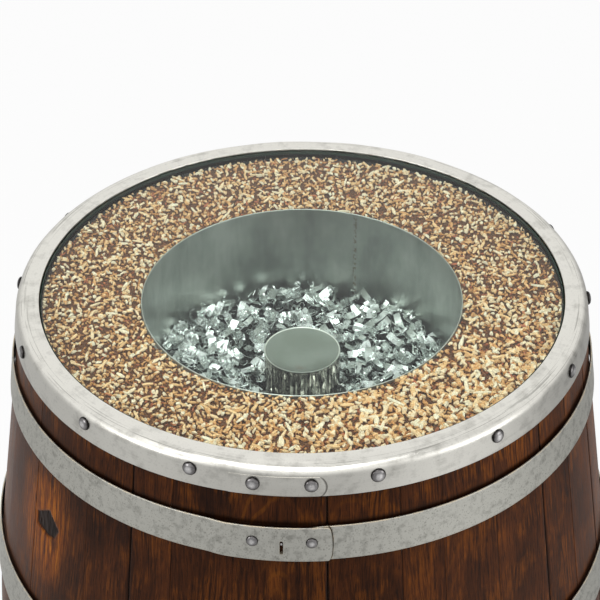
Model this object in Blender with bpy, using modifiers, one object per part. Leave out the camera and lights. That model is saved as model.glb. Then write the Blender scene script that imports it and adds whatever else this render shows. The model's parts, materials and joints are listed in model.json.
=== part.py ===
# Wine barrel made up as a display table. Oak staves stand under six steel hoops, a round glass sheet is
# let into the top, and under it a bed of wood chips lies round a sheet-steel tub, which holds metal
# shavings and an upturned can. Metres, +Z up, the origin at the middle of the foot and the hoop laps at
# the front (-Y). Angles are in degrees from the front, growing towards +X.

import math
import random

import bmesh
import bpy
from mathutils import Matrix
from mathutils import Vector

# Staves
STAVE_LENGTH = 0.948
END_RADIUS = 0.2827  # outside, at the stave ends
BILGE_RADIUS = 0.337  # outside, at mid height
BENT_HALF = 0.2  # the staves are bent this far from mid height, and run straight to their ends
STAVE_THICKNESS = 0.027
SEAMS_IN_FRONT = (-59.8, -43.3, -32.7, -24.2, -12.6, 4.3, 17.8, 26.1, 37.7, 50.7, 60.5, 72.6)
STAVES_EACH_SIDE = 9  # from the seams in front round to the bung stave
BUNG_STAVE_SPAN = 17.5
WIDTH_SPREAD = 0.14  # how far a stave's width strays from the mean, as a share
WIDTH_SEED = 7
END_CHAMFER = 0.004
CHIME_BEVEL_HEIGHT = 0.028
CHIME_THICKNESS = 0.014
CROZE_INSET = 0.048  # from a stave end to the middle of the groove that holds the head
CROZE_WIDTH = 0.007
CROZE_DEPTH = 0.005

# Hoops, each inset measured from the nearer stave ends
HOOP_THICKNESS = 0.002
CHIME_HOOP_INSET = 0.002
CHIME_HOOP_WIDTH = 0.031
QUARTER_HOOP_INSET = 0.0583
QUARTER_HOOP_WIDTH = 0.0357
BILGE_HOOP_INSET = 0.2635
BILGE_HOOP_WIDTH = 0.0485
HOOP_STAND_OFF = 0.001  # how far the edge towards the stave ends stands away
HOOP_LAP = 19.0
TONGUE_END = 5.1
TONGUE_ROUND = 0.004
LAP_RIVETS = (-8.95, 1.5)
SLOT_ANGLE = -3.8
SLOT_WIDTH = 0.003
SLOT_HEIGHT = 0.012
SLOT_DROP = 0.002  # below the middle of the quarter hoop

# The ring over the top stave ends
RING_THICKNESS = 0.002
RING_BAND = 0.0288
RING_CLEARANCE = 0.0015  # from the glass to the ring's inner edge
RING_CORNER = 0.0065
RING_LAP_START = -13.5
RING_LAP_RAMP = 4.5
RING_TONGUE_END = 4.4
RING_RIVETS = (-9.0, 1.5)
RING_RIVET_DROP = 0.0156
NAIL_COUNT = 14
NAIL_FIRST = 13.5
NAIL_SPAN = 325.7
NAIL_DROP = 0.0115
NAIL_HEAD_RADIUS = 0.0068
NAIL_HEAD_HEIGHT = 0.0036
RIVET_HEAD_RADIUS = 0.0058
RIVET_HEAD_HEIGHT = 0.003
SHANK_RADIUS = 0.0025
STUD_SIDES = 8

# Glass
LEDGE_WIDTH = 0.0055  # how far the stave ends reach in under the glass
GLASS_THICKNESS = 0.010
GLASS_BELOW_RING = 0.0015
GLASS_ARRIS = 0.001
REBATE_CLEARANCE = 0.002

# Heads
HEAD_THICKNESS = 0.022
HEAD_BEVEL = 0.018
HEAD_LAND = 0.0153  # wood left beside the tub's hole in the board that it cuts into

# Tub, its brackets, and what lies in it
TUB_RADIUS = 0.1617
TUB_SHEET = 0.0015
TUB_RIM_BELOW_GLASS = 0.008
TUB_DEPTH = 0.128
TUB_FILLET = 0.006
TUB_HOLE_CLEARANCE = 0.002
BRACKET_ANGLES = (60.0, 180.0, 300.0)
BRACKET_LEG = 0.022
BRACKET_HEIGHT = 0.015
BRACKET_WIDTH = 0.020
BRACKET_SHEET = 0.002
CHIPS_BELOW_GLASS = 0.0085  # beside the tub
CHIPS_RISE = 0.005  # how much higher the bed lies beside the staves
CHIPS_UNEVEN = 0.002
CAN_RADIUS = 0.039
CAN_HEIGHT = 0.0575
CAN_SHEET = 0.0008
CAN_LIP = 0.0006
SHAVINGS_DEPTH = 0.018
SHAVINGS_HEAP = 0.012  # how much higher the bed lies against the back of the tub
SHAVINGS_UNEVEN = 0.003
HEAP_SEED = 11

# Bung
BUNG_HOLE_RADIUS = 0.025
BUNG_TAPER = 0.06  # radius lost for each unit of depth
BUNG_PROUD = 0.006
BUNG_LENGTH = 0.036
BUNG_EDGE = 0.0015

# Fits and how finely round shapes are cut
SEAT_GAP = 0.0003
ROUND_STEPS = 60
HEAD_STEPS = 48
CAN_STEPS = 36
BUNG_STEPS = 24
STAVE_FACETS = 2
ROW_SPACING = 0.1
BED_RINGS = 5
BURIED = 0.0004  # how deep joined shapes reach into each other

OAK = ("stained_oak", (0.052, 0.017, 0.008), 0.32, 0.0)
HEAD_OAK = ("raw_oak", (0.36, 0.22, 0.11), 0.6, 0.0)
RING_STEEL = ("brushed_galvanised_steel", (0.62, 0.62, 0.6), 0.35, 1.0)
HOOP_STEEL = ("galvanised_steel", (0.42, 0.44, 0.42), 0.48, 1.0)
TUB_STEEL = ("sheet_steel", (0.36, 0.39, 0.37), 0.4, 1.0)
CAN_STEEL = ("polished_steel", (0.62, 0.63, 0.62), 0.12, 1.0)
SHAVINGS_STEEL = ("metal_shavings", (0.7, 0.72, 0.72), 0.25, 1.0)
CHIPS_WOOD = ("wood_chips", (0.6, 0.38, 0.2), 0.75, 0.0)
GLASS = ("float_glass", (0.82, 0.93, 0.88), 0.02, 0.0)
BUNG_WOOD = ("beech", (0.5, 0.3, 0.16), 0.6, 0.0)

RING_TOP = STAVE_LENGTH + SEAT_GAP + RING_THICKNESS
GLASS_BOTTOM = RING_TOP - GLASS_BELOW_RING - GLASS_THICKNESS
LEDGE_HEIGHT = GLASS_BOTTOM - SEAT_GAP
TOP_HEAD_TOP = STAVE_LENGTH - CROZE_INSET + HEAD_THICKNESS / 2
TUB_RIM = GLASS_BOTTOM - TUB_RIM_BELOW_GLASS
TUB_FLOOR = TUB_RIM - TUB_DEPTH
TUB_HOLE_RADIUS = TUB_RADIUS + TUB_HOLE_CLEARANCE
MID_HEIGHT = STAVE_LENGTH / 2


def clear_scene():
    for obj in list(bpy.data.objects):
        bpy.data.objects.remove(obj)


def new_collection(name):
    collection = bpy.data.collections.new(name)
    bpy.context.scene.collection.children.link(collection)
    return collection


clear_scene()
PARTS = new_collection("wine_barrel")
CUTTERS = new_collection("cutters")


def material(finish):
    """The material of this finish, made once: name, colour, roughness and metallic."""
    name, colour, roughness, metallic = finish
    found = bpy.data.materials.get(name)
    if found:
        return found
    made = bpy.data.materials.new(name)
    made.use_nodes = True
    shader = made.node_tree.nodes["Principled BSDF"]
    shader.inputs["Base Color"].default_value = (*colour, 1.0)
    shader.inputs["Roughness"].default_value = roughness
    shader.inputs["Metallic"].default_value = metallic
    return made


def add_part(name, mesh, finish, location=(0, 0, 0)):
    obj = bpy.data.objects.new(name, mesh)
    mesh.materials.append(material(finish))
    obj.location = location
    PARTS.objects.link(obj)
    return obj


def add_cutter(name, mesh, location=(0, 0, 0)):
    obj = bpy.data.objects.new(name, mesh)
    obj.location = location
    obj.hide_render = True
    obj.display_type = "WIRE"
    CUTTERS.objects.link(obj)
    return obj


def combine(obj, other, operation):
    modifier = obj.modifiers.new(operation.lower(), "BOOLEAN")
    modifier.operation = operation
    modifier.object = other


def settle(obj):
    """Turns the modifiers into mesh, and shades the piece smooth but for its sharp corners."""
    bpy.context.view_layer.update()
    evaluated = obj.evaluated_get(bpy.context.evaluated_depsgraph_get())
    mesh = bpy.data.meshes.new_from_object(evaluated)
    mesh.name = obj.name
    obj.modifiers.clear()
    obj.data = mesh
    mesh.shade_smooth()
    mesh.set_sharp_from_angle(angle=math.radians(30))


def mesh_from(bm, name):
    mesh = bpy.data.meshes.new(name)
    bm.to_mesh(mesh)
    bm.free()
    return mesh


def on_circle(radius, degrees, z):
    turn = math.radians(degrees)
    return Vector((radius * math.sin(turn), -radius * math.cos(turn), z))


def outer_radius(z):
    """The staves' outer radius at this height: bent to a parabola about the middle, then straight."""
    rise = abs(z - MID_HEIGHT)
    lean = (BILGE_RADIUS - END_RADIUS) / (MID_HEIGHT - BENT_HALF / 2)
    if rise > BENT_HALF:
        return END_RADIUS + lean * (MID_HEIGHT - rise)
    return BILGE_RADIUS - lean * rise * rise / (2 * BENT_HALF)


def inner_radius(z):
    return outer_radius(z) - STAVE_THICKNESS


REBATE_RADIUS = inner_radius(LEDGE_HEIGHT) + LEDGE_WIDTH
GLASS_RADIUS = REBATE_RADIUS - REBATE_CLEARANCE
RING_INNER_RADIUS = GLASS_RADIUS + RING_CLEARANCE


def around(radius, steps=ROUND_STEPS):
    """The corner radius of a faceted ring that clears what it goes round by the seat gap."""
    return (radius + SEAT_GAP) / math.cos(math.pi / steps)


def seam_angles():
    """Every joint between staves, from the first seam in front round to it again."""
    chance = random.Random(WIDTH_SEED)
    first, last = SEAMS_IN_FRONT[0], SEAMS_IN_FRONT[-1]
    bung_from = 180.0 - BUNG_STAVE_SPAN / 2
    bung_to = 180.0 + BUNG_STAVE_SPAN / 2
    seams = list(SEAMS_IN_FRONT)
    for low, high in ((last, bung_from), (bung_to, first + 360.0)):
        widths = [1 + chance.uniform(-WIDTH_SPREAD, WIDTH_SPREAD) for _ in range(STAVES_EACH_SIDE)]
        if low != last:
            seams.append(low)
        at = low
        for width in widths:
            at += (high - low) * width / sum(widths)
            seams.append(at)
    return seams


SEAMS = seam_angles()
WIDEST_FACET = math.radians(max(b - a for a, b in zip(SEAMS, SEAMS[1:]))) / STAVE_FACETS


def inside_staves(radius):
    """The corner radius of a round piece that fits in the staves' faceted bore of this radius."""
    return radius * math.cos(WIDEST_FACET / 2) - SEAT_GAP


def turned(name, profile, finish, steps=ROUND_STEPS, closed=False, location=(0, 0, 0)):
    """A piece turned from a profile of (radius, height) points that runs down its outer side."""
    obj = add_part(name, turned_profile(name, profile, closed), finish, location)
    add_screw(obj, steps)
    return obj


def turned_profile(name, profile, closed):
    bm = bmesh.new()
    verts = [bm.verts.new((radius, 0, z)) for radius, z in profile]
    for first, second in zip(verts, verts[1:]):
        bm.edges.new((first, second))
    if closed:
        bm.edges.new((verts[-1], verts[0]))
    return mesh_from(bm, name)


def add_screw(obj, steps):
    screw = obj.modifiers.new("turned", "SCREW")
    screw.steps = steps
    screw.render_steps = steps
    screw.use_merge_vertices = True
    screw.merge_threshold = 0.0001


def box_mesh(name, size):
    bm = bmesh.new()
    bmesh.ops.create_cube(bm, size=1)
    bmesh.ops.scale(bm, vec=size, verts=bm.verts)
    return mesh_from(bm, name)


# Staves


def half_rows():
    """Heights up to the middle with a row at each hoop's edges, so that a hoop bears on a straight run."""
    edges = [
        0.0,
        QUARTER_HOOP_INSET,
        QUARTER_HOOP_INSET + QUARTER_HOOP_WIDTH,
        BILGE_HOOP_INSET,
        BILGE_HOOP_INSET + BILGE_HOOP_WIDTH,
        MID_HEIGHT,
    ]
    rows = []
    for low, high in zip(edges, edges[1:]):
        parts = max(1, round((high - low) / ROW_SPACING))
        rows += [low + (high - low) * i / parts for i in range(parts)]
    return rows


def croze(z):
    """The groove round the inside at height z, as profile points from its upper edge down."""
    top, bottom = z + CROZE_WIDTH / 2, z - CROZE_WIDTH / 2
    floor = inner_radius(z) + CROZE_DEPTH
    return [(inner_radius(top), top), (floor, top), (floor, bottom), (inner_radius(bottom), bottom)]


def stave_profile():
    lower = half_rows()
    rows = lower + [MID_HEIGHT] + [STAVE_LENGTH - z for z in reversed(lower[1:])]
    outside = [(outer_radius(z), z) for z in rows]
    shoulder = STAVE_LENGTH - END_CHAMFER
    top = [(outer_radius(shoulder), shoulder), (END_RADIUS - END_CHAMFER, STAVE_LENGTH)]
    rebate = [
        (REBATE_RADIUS, STAVE_LENGTH),
        (REBATE_RADIUS, LEDGE_HEIGHT),
        (inner_radius(LEDGE_HEIGHT), LEDGE_HEIGHT),
    ]
    low_croze, high_croze = CROZE_INSET, STAVE_LENGTH - CROZE_INSET
    inside_rows = [z for z in reversed(rows[2:-1:2]) if low_croze + CROZE_WIDTH < z < high_croze - CROZE_WIDTH]
    inside = [(inner_radius(z), z) for z in inside_rows]
    bevel = [
        (inner_radius(CHIME_BEVEL_HEIGHT), CHIME_BEVEL_HEIGHT),
        (END_RADIUS - CHIME_THICKNESS, 0.0),
    ]
    return outside + top + rebate + croze(high_croze) + inside + croze(low_croze) + bevel


def stave(name, start, end):
    """The profile swept round from one joint to the next, less the joint's gap."""
    trim = math.degrees(SEAT_GAP / 2 / END_RADIUS)
    bm = bmesh.new()
    corners = [bm.verts.new(on_circle(radius, start + trim, z)) for radius, z in stave_profile()]
    face = bm.faces.new(corners)
    bmesh.ops.spin(
        bm,
        geom=[face, *face.edges, *face.verts],
        cent=(0, 0, 0),
        axis=(0, 0, 1),
        angle=math.radians(end - start - 2 * trim),
        steps=STAVE_FACETS,
    )
    bmesh.ops.recalc_face_normals(bm, faces=bm.faces)
    return add_part(name, mesh_from(bm, name), OAK)


def make_staves():
    for number, (start, end) in enumerate(zip(SEAMS, SEAMS[1:]), 1):
        obj = stave(f"stave_{number:02d}", start, end)
        if start < 180.0 < end:
            combine(obj, bung_hole(), "DIFFERENCE")
        settle(obj)


# Bung, in a hole bored through the widest stave at the back


def bung_placed():
    """From a bung's own frame, its axis along Z and its outer face up, to its place in the bilge."""
    return Matrix.Translation((0, BILGE_RADIUS, MID_HEIGHT)) @ Matrix.Rotation(-math.pi / 2, 4, "X")


def bung_hole():
    reach = STAVE_THICKNESS
    bm = bmesh.new()
    bmesh.ops.create_cone(
        bm,
        cap_ends=True,
        segments=BUNG_STEPS,
        radius1=BUNG_HOLE_RADIUS - 2 * reach * BUNG_TAPER,
        radius2=BUNG_HOLE_RADIUS + reach * BUNG_TAPER,
        depth=3 * reach,
        matrix=Matrix.Translation((0, 0, -reach / 2)),
    )
    cutter = add_cutter("bung_bore", mesh_from(bm, "bung_bore"))
    cutter.matrix_world = bung_placed()
    return cutter


def make_bung():
    def radius(height):
        bore = BUNG_HOLE_RADIUS + height * BUNG_TAPER
        return bore * math.cos(math.pi / BUNG_STEPS) - SEAT_GAP

    tail = BUNG_PROUD - BUNG_LENGTH
    shoulder = BUNG_PROUD - BUNG_EDGE
    profile = [
        (0, BUNG_PROUD),
        (radius(shoulder) - BUNG_EDGE, BUNG_PROUD),
        (radius(shoulder), shoulder),
        (radius(tail + BUNG_EDGE), tail + BUNG_EDGE),
        (radius(tail) - BUNG_EDGE, tail),
        (0, tail),
    ]
    bung = turned("bung", profile, BUNG_WOOD, steps=BUNG_STEPS)
    bung.matrix_world = bung_placed()
    settle(bung)


# Hoops: a steel strip round the staves, its ends lapped and held by two dome-headed rivets


def strip_columns(tongue_end, height):
    """(angle, step outwards, share of the width) along the strip, from its hidden end to its tongue."""
    step = 360.0 / ROUND_STEPS
    start = tongue_end - HOOP_LAP
    round_off = math.degrees(TONGUE_ROUND / outer_radius(height))
    lapped = HOOP_THICKNESS + SEAT_GAP
    columns = [(start + i * step, 0.0, 1.0) for i in range(ROUND_STEPS)]
    lap_steps = int((HOOP_LAP - round_off) / step)
    columns += [(start + 360.0 + i * step, lapped, 1.0) for i in range(lap_steps + 1)]
    tip = tongue_end + 360.0
    columns += [(tip - round_off, lapped, 1.0), (tip - round_off / 4, lapped, 0.7), (tip, lapped, 0.3)]
    return columns


def strip(name, columns, low, high, finish, thickness):
    """A band of sheet through the columns, between two edges given as (radius, height)."""
    middle = (low[1] + high[1]) / 2
    bm = bmesh.new()
    pairs = []
    for degrees, out, share in columns:
        pair = []
        for radius, z in (low, high):
            height = middle + (z - middle) * share
            along = (height - low[1]) / (high[1] - low[1])
            leaning = low[0] + (high[0] - low[0]) * along
            pair.append(bm.verts.new(on_circle(leaning + out, degrees, height)))
        pairs.append(pair)
    for (a, b), (c, d) in zip(pairs, pairs[1:]):
        bm.faces.new((a, c, d, b))
    obj = add_part(name, mesh_from(bm, name), finish)
    solidify = obj.modifiers.new("sheet", "SOLIDIFY")
    solidify.thickness = thickness
    solidify.offset = 1.0
    solidify.use_even_offset = True
    return obj


def stud_profile(head_radius, head_height, shank):
    """A dome head on a shank that reaches this far in from the head's seat."""
    arc = [math.radians(a) for a in (90, 55, 25, 0)]
    dome = [(head_radius * math.cos(a), head_height * math.sin(a)) for a in arc]
    dome[0] = (0.0, head_height)
    return dome + [(SHANK_RADIUS, 0.0), (SHANK_RADIUS, -shank), (0.0, -shank)]


def studs(name, places, profile, lean):
    """Studs at (angle, radius, height), their heads out and their axes square to the leaning sheet."""
    bm = bmesh.new()
    for degrees, radius, z in places:
        verts = [bm.verts.new((r, 0, h)) for r, h in profile]
        edges = [bm.edges.new(pair) for pair in zip(verts, verts[1:])]
        swept = bmesh.ops.spin(
            bm, geom=[*verts, *edges], cent=(0, 0, 0), axis=(0, 0, 1), angle=2 * math.pi, steps=STUD_SIDES
        )
        own = list({v for v in bm.verts if not v.tag})
        bmesh.ops.remove_doubles(bm, verts=own, dist=0.00001)
        own = [v for v in bm.verts if not v.tag]
        facing = Matrix.Rotation(math.radians(degrees), 4, "Z") @ Matrix.Rotation(math.pi / 2 - lean, 4, "X")
        bmesh.ops.transform(bm, matrix=Matrix.Translation(on_circle(radius, degrees, z)) @ facing, verts=own)
        for v in own:
            v.tag = True
    bmesh.ops.recalc_face_normals(bm, faces=bm.faces)
    return add_cutter(name, mesh_from(bm, name))


def hoop(name, inset, width, at_top, slot=False):
    """A lapped hoop whose edge nearer the stave ends stands off a little."""
    low, high = (STAVE_LENGTH - inset - width, STAVE_LENGTH - inset) if at_top else (inset, inset + width)
    off_low, off_high = (0.0, HOOP_STAND_OFF) if at_top else (HOOP_STAND_OFF, 0.0)
    edge_low = (around(outer_radius(low)) + off_low, low)
    edge_high = (around(outer_radius(high)) + off_high, high)
    middle = (low + high) / 2
    seat = (edge_low[0] + edge_high[0]) / 2
    obj = strip(name, strip_columns(TONGUE_END, middle), edge_low, edge_high, HOOP_STEEL, HOOP_THICKNESS)
    face = seat + 2 * HOOP_THICKNESS + SEAT_GAP
    profile = stud_profile(RIVET_HEAD_RADIUS, RIVET_HEAD_HEIGHT, 2 * HOOP_THICKNESS)
    places = [(degrees, face - BURIED, middle) for degrees in LAP_RIVETS]
    lean = math.atan2(edge_low[0] - edge_high[0], high - low)
    combine(obj, studs(f"{name}_rivets", places, profile, lean), "UNION")
    if slot:
        combine(obj, lap_slot(face, middle - SLOT_DROP), "DIFFERENCE")
    settle(obj)


def lap_slot(radius, z):
    cutter = add_cutter("lap_slot", box_mesh("lap_slot", (SLOT_WIDTH, 6 * HOOP_THICKNESS, SLOT_HEIGHT)))
    cutter.location = on_circle(radius, SLOT_ANGLE, z)
    cutter.rotation_euler = (0, 0, math.radians(SLOT_ANGLE))
    return cutter


def make_hoops():
    hoop("top_quarter_hoop", QUARTER_HOOP_INSET, QUARTER_HOOP_WIDTH, at_top=True, slot=True)
    hoop("top_bilge_hoop", BILGE_HOOP_INSET, BILGE_HOOP_WIDTH, at_top=True)
    hoop("bottom_bilge_hoop", BILGE_HOOP_INSET, BILGE_HOOP_WIDTH, at_top=False)
    hoop("bottom_quarter_hoop", QUARTER_HOOP_INSET, QUARTER_HOOP_WIDTH, at_top=False)
    hoop("bottom_chime_hoop", CHIME_HOOP_INSET, CHIME_HOOP_WIDTH, at_top=False)


# The top ring: the chime hoop, hammered over the stave ends, nailed on and lapped at the front


def make_top_ring():
    bottom = RING_TOP - RING_BAND
    corner = RING_CORNER - RING_THICKNESS
    band_top = RING_TOP - RING_CORNER
    top_radius = around(outer_radius(band_top))
    bend = [math.radians(a) for a in (60, 30)]
    inner_line = [(RING_INNER_RADIUS, RING_TOP - RING_THICKNESS), (top_radius - corner, RING_TOP - RING_THICKNESS)]
    inner_line += [
        (top_radius - corner + corner * math.cos(a), band_top + corner * math.sin(a)) for a in bend
    ]
    band_bottom = around(outer_radius(bottom))
    inner_line += [(top_radius, band_top), (band_bottom, bottom)]
    ring = turned("top_chime_ring", inner_line, RING_STEEL)
    sheet = ring.modifiers.new("sheet", "SOLIDIFY")
    sheet.thickness = RING_THICKNESS
    sheet.offset = 1.0
    sheet.use_even_offset = True

    def face(z):
        along = (z - bottom) / (band_top - bottom)
        return band_bottom + (top_radius - band_bottom) * along + RING_THICKNESS

    combine(ring, ring_tongue(bottom, band_top, face), "UNION")
    lean = math.atan2(band_bottom - top_radius, band_top - bottom)
    nail_z, rivet_z = RING_TOP - NAIL_DROP, RING_TOP - RING_RIVET_DROP
    turns = [NAIL_FIRST + NAIL_SPAN * i / (NAIL_COUNT - 1) for i in range(NAIL_COUNT)]
    nails = [(degrees, face(nail_z) - BURIED, nail_z) for degrees in turns]
    nail = stud_profile(NAIL_HEAD_RADIUS, NAIL_HEAD_HEIGHT, RING_THICKNESS / 2)
    combine(ring, studs("ring_nails", nails, nail, lean), "UNION")
    raised = face(rivet_z) + RING_THICKNESS - 2 * BURIED
    rivets = [(degrees, raised, rivet_z) for degrees in RING_RIVETS]
    rivet = stud_profile(RIVET_HEAD_RADIUS, RIVET_HEAD_HEIGHT, RING_THICKNESS)
    combine(ring, studs("ring_rivets", rivets, rivet, lean), "UNION")
    settle(ring)


def ring_tongue(bottom, top, face):
    """The outer end of the lap, which rises out of the band and ends in a rounded tongue."""
    sunk = 2 * BURIED - RING_THICKNESS
    round_off = math.degrees(TONGUE_ROUND / END_RADIUS)
    raised_from = RING_LAP_START + RING_LAP_RAMP
    columns = [(RING_LAP_START, sunk, 1.0), (raised_from, 0.0, 1.0)]
    columns += [((raised_from + RING_TONGUE_END) / 2, 0.0, 1.0), (RING_TONGUE_END - round_off, 0.0, 1.0)]
    columns += [(RING_TONGUE_END - round_off / 4, 0.0, 0.7), (RING_TONGUE_END, 0.0, 0.3)]
    tongue = strip(
        "ring_tongue",
        columns,
        (face(bottom) - BURIED, bottom),
        (face(top) - BURIED, top),
        RING_STEEL,
        RING_THICKNESS - BURIED,
    )
    PARTS.objects.unlink(tongue)
    CUTTERS.objects.link(tongue)
    tongue.hide_render = True
    tongue.display_type = "WIRE"
    return tongue


# Glass, let into a rebate in the stave ends


def make_glass():
    flat = GLASS_RADIUS - GLASS_ARRIS
    profile = [
        (0, GLASS_THICKNESS),
        (flat, GLASS_THICKNESS),
        (GLASS_RADIUS, GLASS_THICKNESS - GLASS_ARRIS),
        (GLASS_RADIUS, GLASS_ARRIS),
        (flat, 0),
        (0, 0),
    ]
    settle(turned("glass_top", profile, GLASS, location=(0, 0, GLASS_BOTTOM)))


# Heads: oak boards side by side, their bevelled rim held in the staves' groove


def head_profile(hole):
    """The head's section about its mid height, down the rim and back to the hole or the middle."""
    tongue = CROZE_WIDTH / 2 - SEAT_GAP
    inset = CROZE_INSET - HEAD_THICKNESS / 2
    bore = inside_staves(inner_radius(inset))
    rim = inside_staves(inner_radius(CROZE_INSET) + CROZE_DEPTH)
    half = HEAD_THICKNESS / 2
    upper = [(hole, half), (bore - HEAD_BEVEL, half), (bore, tongue), (rim, tongue)]
    return upper + [(radius, -z) for radius, z in reversed(upper)]


def board_slabs(hole):
    """(name, x from, x to, y from, y to) of each board, and the two ends of one that the hole parts."""
    reach = inside_staves(inner_radius(CROZE_INSET) + CROZE_DEPTH)
    outer = hole + HEAD_LAND if hole else reach * 2 / 3
    joints = [-reach, -outer, -outer / 2, 0.0, outer / 2, outer, reach]
    slabs = []
    for number, (low, high) in enumerate(zip(joints, joints[1:]), 1):
        inner, outer = low + SEAT_GAP / 2, high - SEAT_GAP / 2
        if max(abs(low), abs(high)) < hole:
            slabs.append((f"{number}_left", -reach, 0.0, inner, outer))
            slabs.append((f"{number}_right", 0.0, reach, inner, outer))
        else:
            slabs.append((f"{number}", -reach, reach, inner, outer))
    return slabs


def make_head(name, z, hole):
    margin = SEAT_GAP
    for board, x_from, x_to, y_from, y_to in board_slabs(hole):
        if x_from < 0:
            x_from -= margin
        if x_to > 0:
            x_to += margin
        full = f"{name}_board_{board}"
        part = turned(full, head_profile(hole), HEAD_OAK, HEAD_STEPS, hole > 0, (0, 0, z))
        size = (x_to - x_from, y_to - y_from, 2 * HEAD_THICKNESS)
        middle = ((x_from + x_to) / 2, (y_from + y_to) / 2, z)
        combine(part, add_cutter(f"{full}_slab", box_mesh(f"{full}_slab", size), middle), "INTERSECT")
        settle(part)


def make_heads():
    make_head("top_head", STAVE_LENGTH - CROZE_INSET, around(TUB_HOLE_RADIUS, HEAD_STEPS))
    make_head("bottom_head", CROZE_INSET, 0.0)


# Tub, held by three angle brackets that stand on the top head


def make_tub():
    inner = TUB_RADIUS - TUB_SHEET
    profile = [
        (0, TUB_SHEET),
        (inner - TUB_FILLET, TUB_SHEET),
        (inner, TUB_SHEET + TUB_FILLET),
        (inner, TUB_DEPTH),
        (TUB_RADIUS, TUB_DEPTH),
        (TUB_RADIUS, TUB_FILLET),
        (TUB_RADIUS - TUB_FILLET, 0),
        (0, 0),
    ]
    settle(turned("tub", profile, TUB_STEEL, location=(0, 0, TUB_FLOOR)))


def bracket_mesh(name, grow=0.0):
    """An angle with its back to the tub at the origin and its foot pointing out along -Y."""
    bm = bmesh.new()
    outline = [
        (grow, -grow),
        (grow, BRACKET_HEIGHT + grow),
        (-BRACKET_SHEET - grow, BRACKET_HEIGHT + grow),
        (-BRACKET_SHEET - grow, BRACKET_SHEET + grow),
        (-BRACKET_LEG - grow, BRACKET_SHEET + grow),
        (-BRACKET_LEG - grow, -grow),
    ]
    half = BRACKET_WIDTH / 2 + grow
    face = bm.faces.new([bm.verts.new((-half, y, z)) for y, z in outline])
    raised = bmesh.ops.extrude_face_region(bm, geom=[face])
    moved = [v for v in raised["geom"] if isinstance(v, bmesh.types.BMVert)]
    bmesh.ops.translate(bm, verts=moved, vec=(2 * half, 0, 0))
    bmesh.ops.recalc_face_normals(bm, faces=bm.faces)
    return mesh_from(bm, name)


def place_bracket(obj, degrees):
    obj.location = on_circle(TUB_RADIUS + SEAT_GAP, degrees, TOP_HEAD_TOP + SEAT_GAP)
    obj.rotation_euler = (0, 0, math.radians(degrees))


def make_brackets():
    for number, degrees in enumerate(BRACKET_ANGLES, 1):
        name = f"tub_bracket_{number}"
        place_bracket(add_part(name, bracket_mesh(name), HOOP_STEEL), degrees)


# Loose fillings, each as one body with an uneven top


def bed_mesh(name, inner, outer_low, outer_high, bottom, top, steps):
    """A ring-shaped bed whose top height is top(degrees, share of the way out)."""
    bm = bmesh.new()
    rings = [(inner, None)]
    rings += [(inner + (outer_high - inner) * i / BED_RINGS, i / BED_RINGS) for i in range(BED_RINGS + 1)]
    rings.append((outer_low, None))
    loops = []
    for radius, share in rings:
        loop = []
        for step in range(steps):
            degrees = 360.0 * step / steps
            z = bottom if share is None else top(degrees, share)
            loop.append(bm.verts.new(on_circle(radius, degrees, z)))
        loops.append(loop)
    for near, far in zip(loops, loops[1:] + loops[:1]):
        for i in range(steps):
            j = (i + 1) % steps
            bm.faces.new((near[i], near[j], far[j], far[i]))
    bmesh.ops.recalc_face_normals(bm, faces=bm.faces)
    return mesh_from(bm, name)


def make_chips():
    chance = random.Random(HEAP_SEED)
    bottom = TOP_HEAD_TOP + SEAT_GAP
    level = GLASS_BOTTOM - CHIPS_BELOW_GLASS

    def top(degrees, share):
        return level + CHIPS_RISE * share + chance.uniform(-CHIPS_UNEVEN, CHIPS_UNEVEN)

    inner = around(TUB_RADIUS, HEAD_STEPS)
    outer_low = inside_staves(inner_radius(bottom))
    outer_high = inside_staves(inner_radius(level + CHIPS_RISE + CHIPS_UNEVEN))
    mesh = bed_mesh("wood_chips", inner, outer_low, outer_high, bottom, top, HEAD_STEPS)
    chips = add_part("wood_chips", mesh, CHIPS_WOOD)
    for number, degrees in enumerate(BRACKET_ANGLES, 1):
        name = f"bracket_room_{number}"
        room = add_cutter(name, bracket_mesh(name, SEAT_GAP))
        place_bracket(room, degrees)
        combine(chips, room, "DIFFERENCE")
    settle(chips)


def make_shavings():
    chance = random.Random(HEAP_SEED)
    bottom = TUB_FLOOR + TUB_SHEET + SEAT_GAP

    def top(degrees, share):
        heap = SHAVINGS_HEAP * share * math.sin(math.radians(degrees) / 2)
        return bottom + SHAVINGS_DEPTH + heap + chance.uniform(-SHAVINGS_UNEVEN, SHAVINGS_UNEVEN)

    inner = around(CAN_RADIUS, CAN_STEPS)
    wall = (TUB_RADIUS - TUB_SHEET) * math.cos(math.pi / ROUND_STEPS) - SEAT_GAP
    mesh = bed_mesh("metal_shavings", inner, wall - TUB_FILLET, wall, bottom, top, CAN_STEPS)
    settle(add_part("metal_shavings", mesh, SHAVINGS_STEEL))


def make_can():
    inner = CAN_RADIUS - CAN_SHEET
    profile = [
        (0, CAN_HEIGHT - CAN_LIP),
        (inner, CAN_HEIGHT - CAN_LIP),
        (inner, CAN_HEIGHT),
        (CAN_RADIUS, CAN_HEIGHT),
        (CAN_RADIUS, 0),
        (inner, 0),
        (inner, CAN_HEIGHT - CAN_LIP - CAN_SHEET),
        (0, CAN_HEIGHT - CAN_LIP - CAN_SHEET),
    ]
    floor = TUB_FLOOR + TUB_SHEET + SEAT_GAP
    settle(turned("centre_can", profile, CAN_STEEL, steps=CAN_STEPS, location=(0, 0, floor)))


make_staves()
make_bung()
make_hoops()
make_top_ring()
make_glass()
make_heads()
make_tub()
make_brackets()
make_chips()
make_shavings()
make_can()
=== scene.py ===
import json
import math
import random

import bmesh
import bpy
from mathutils import Matrix, Vector, noise

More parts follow.
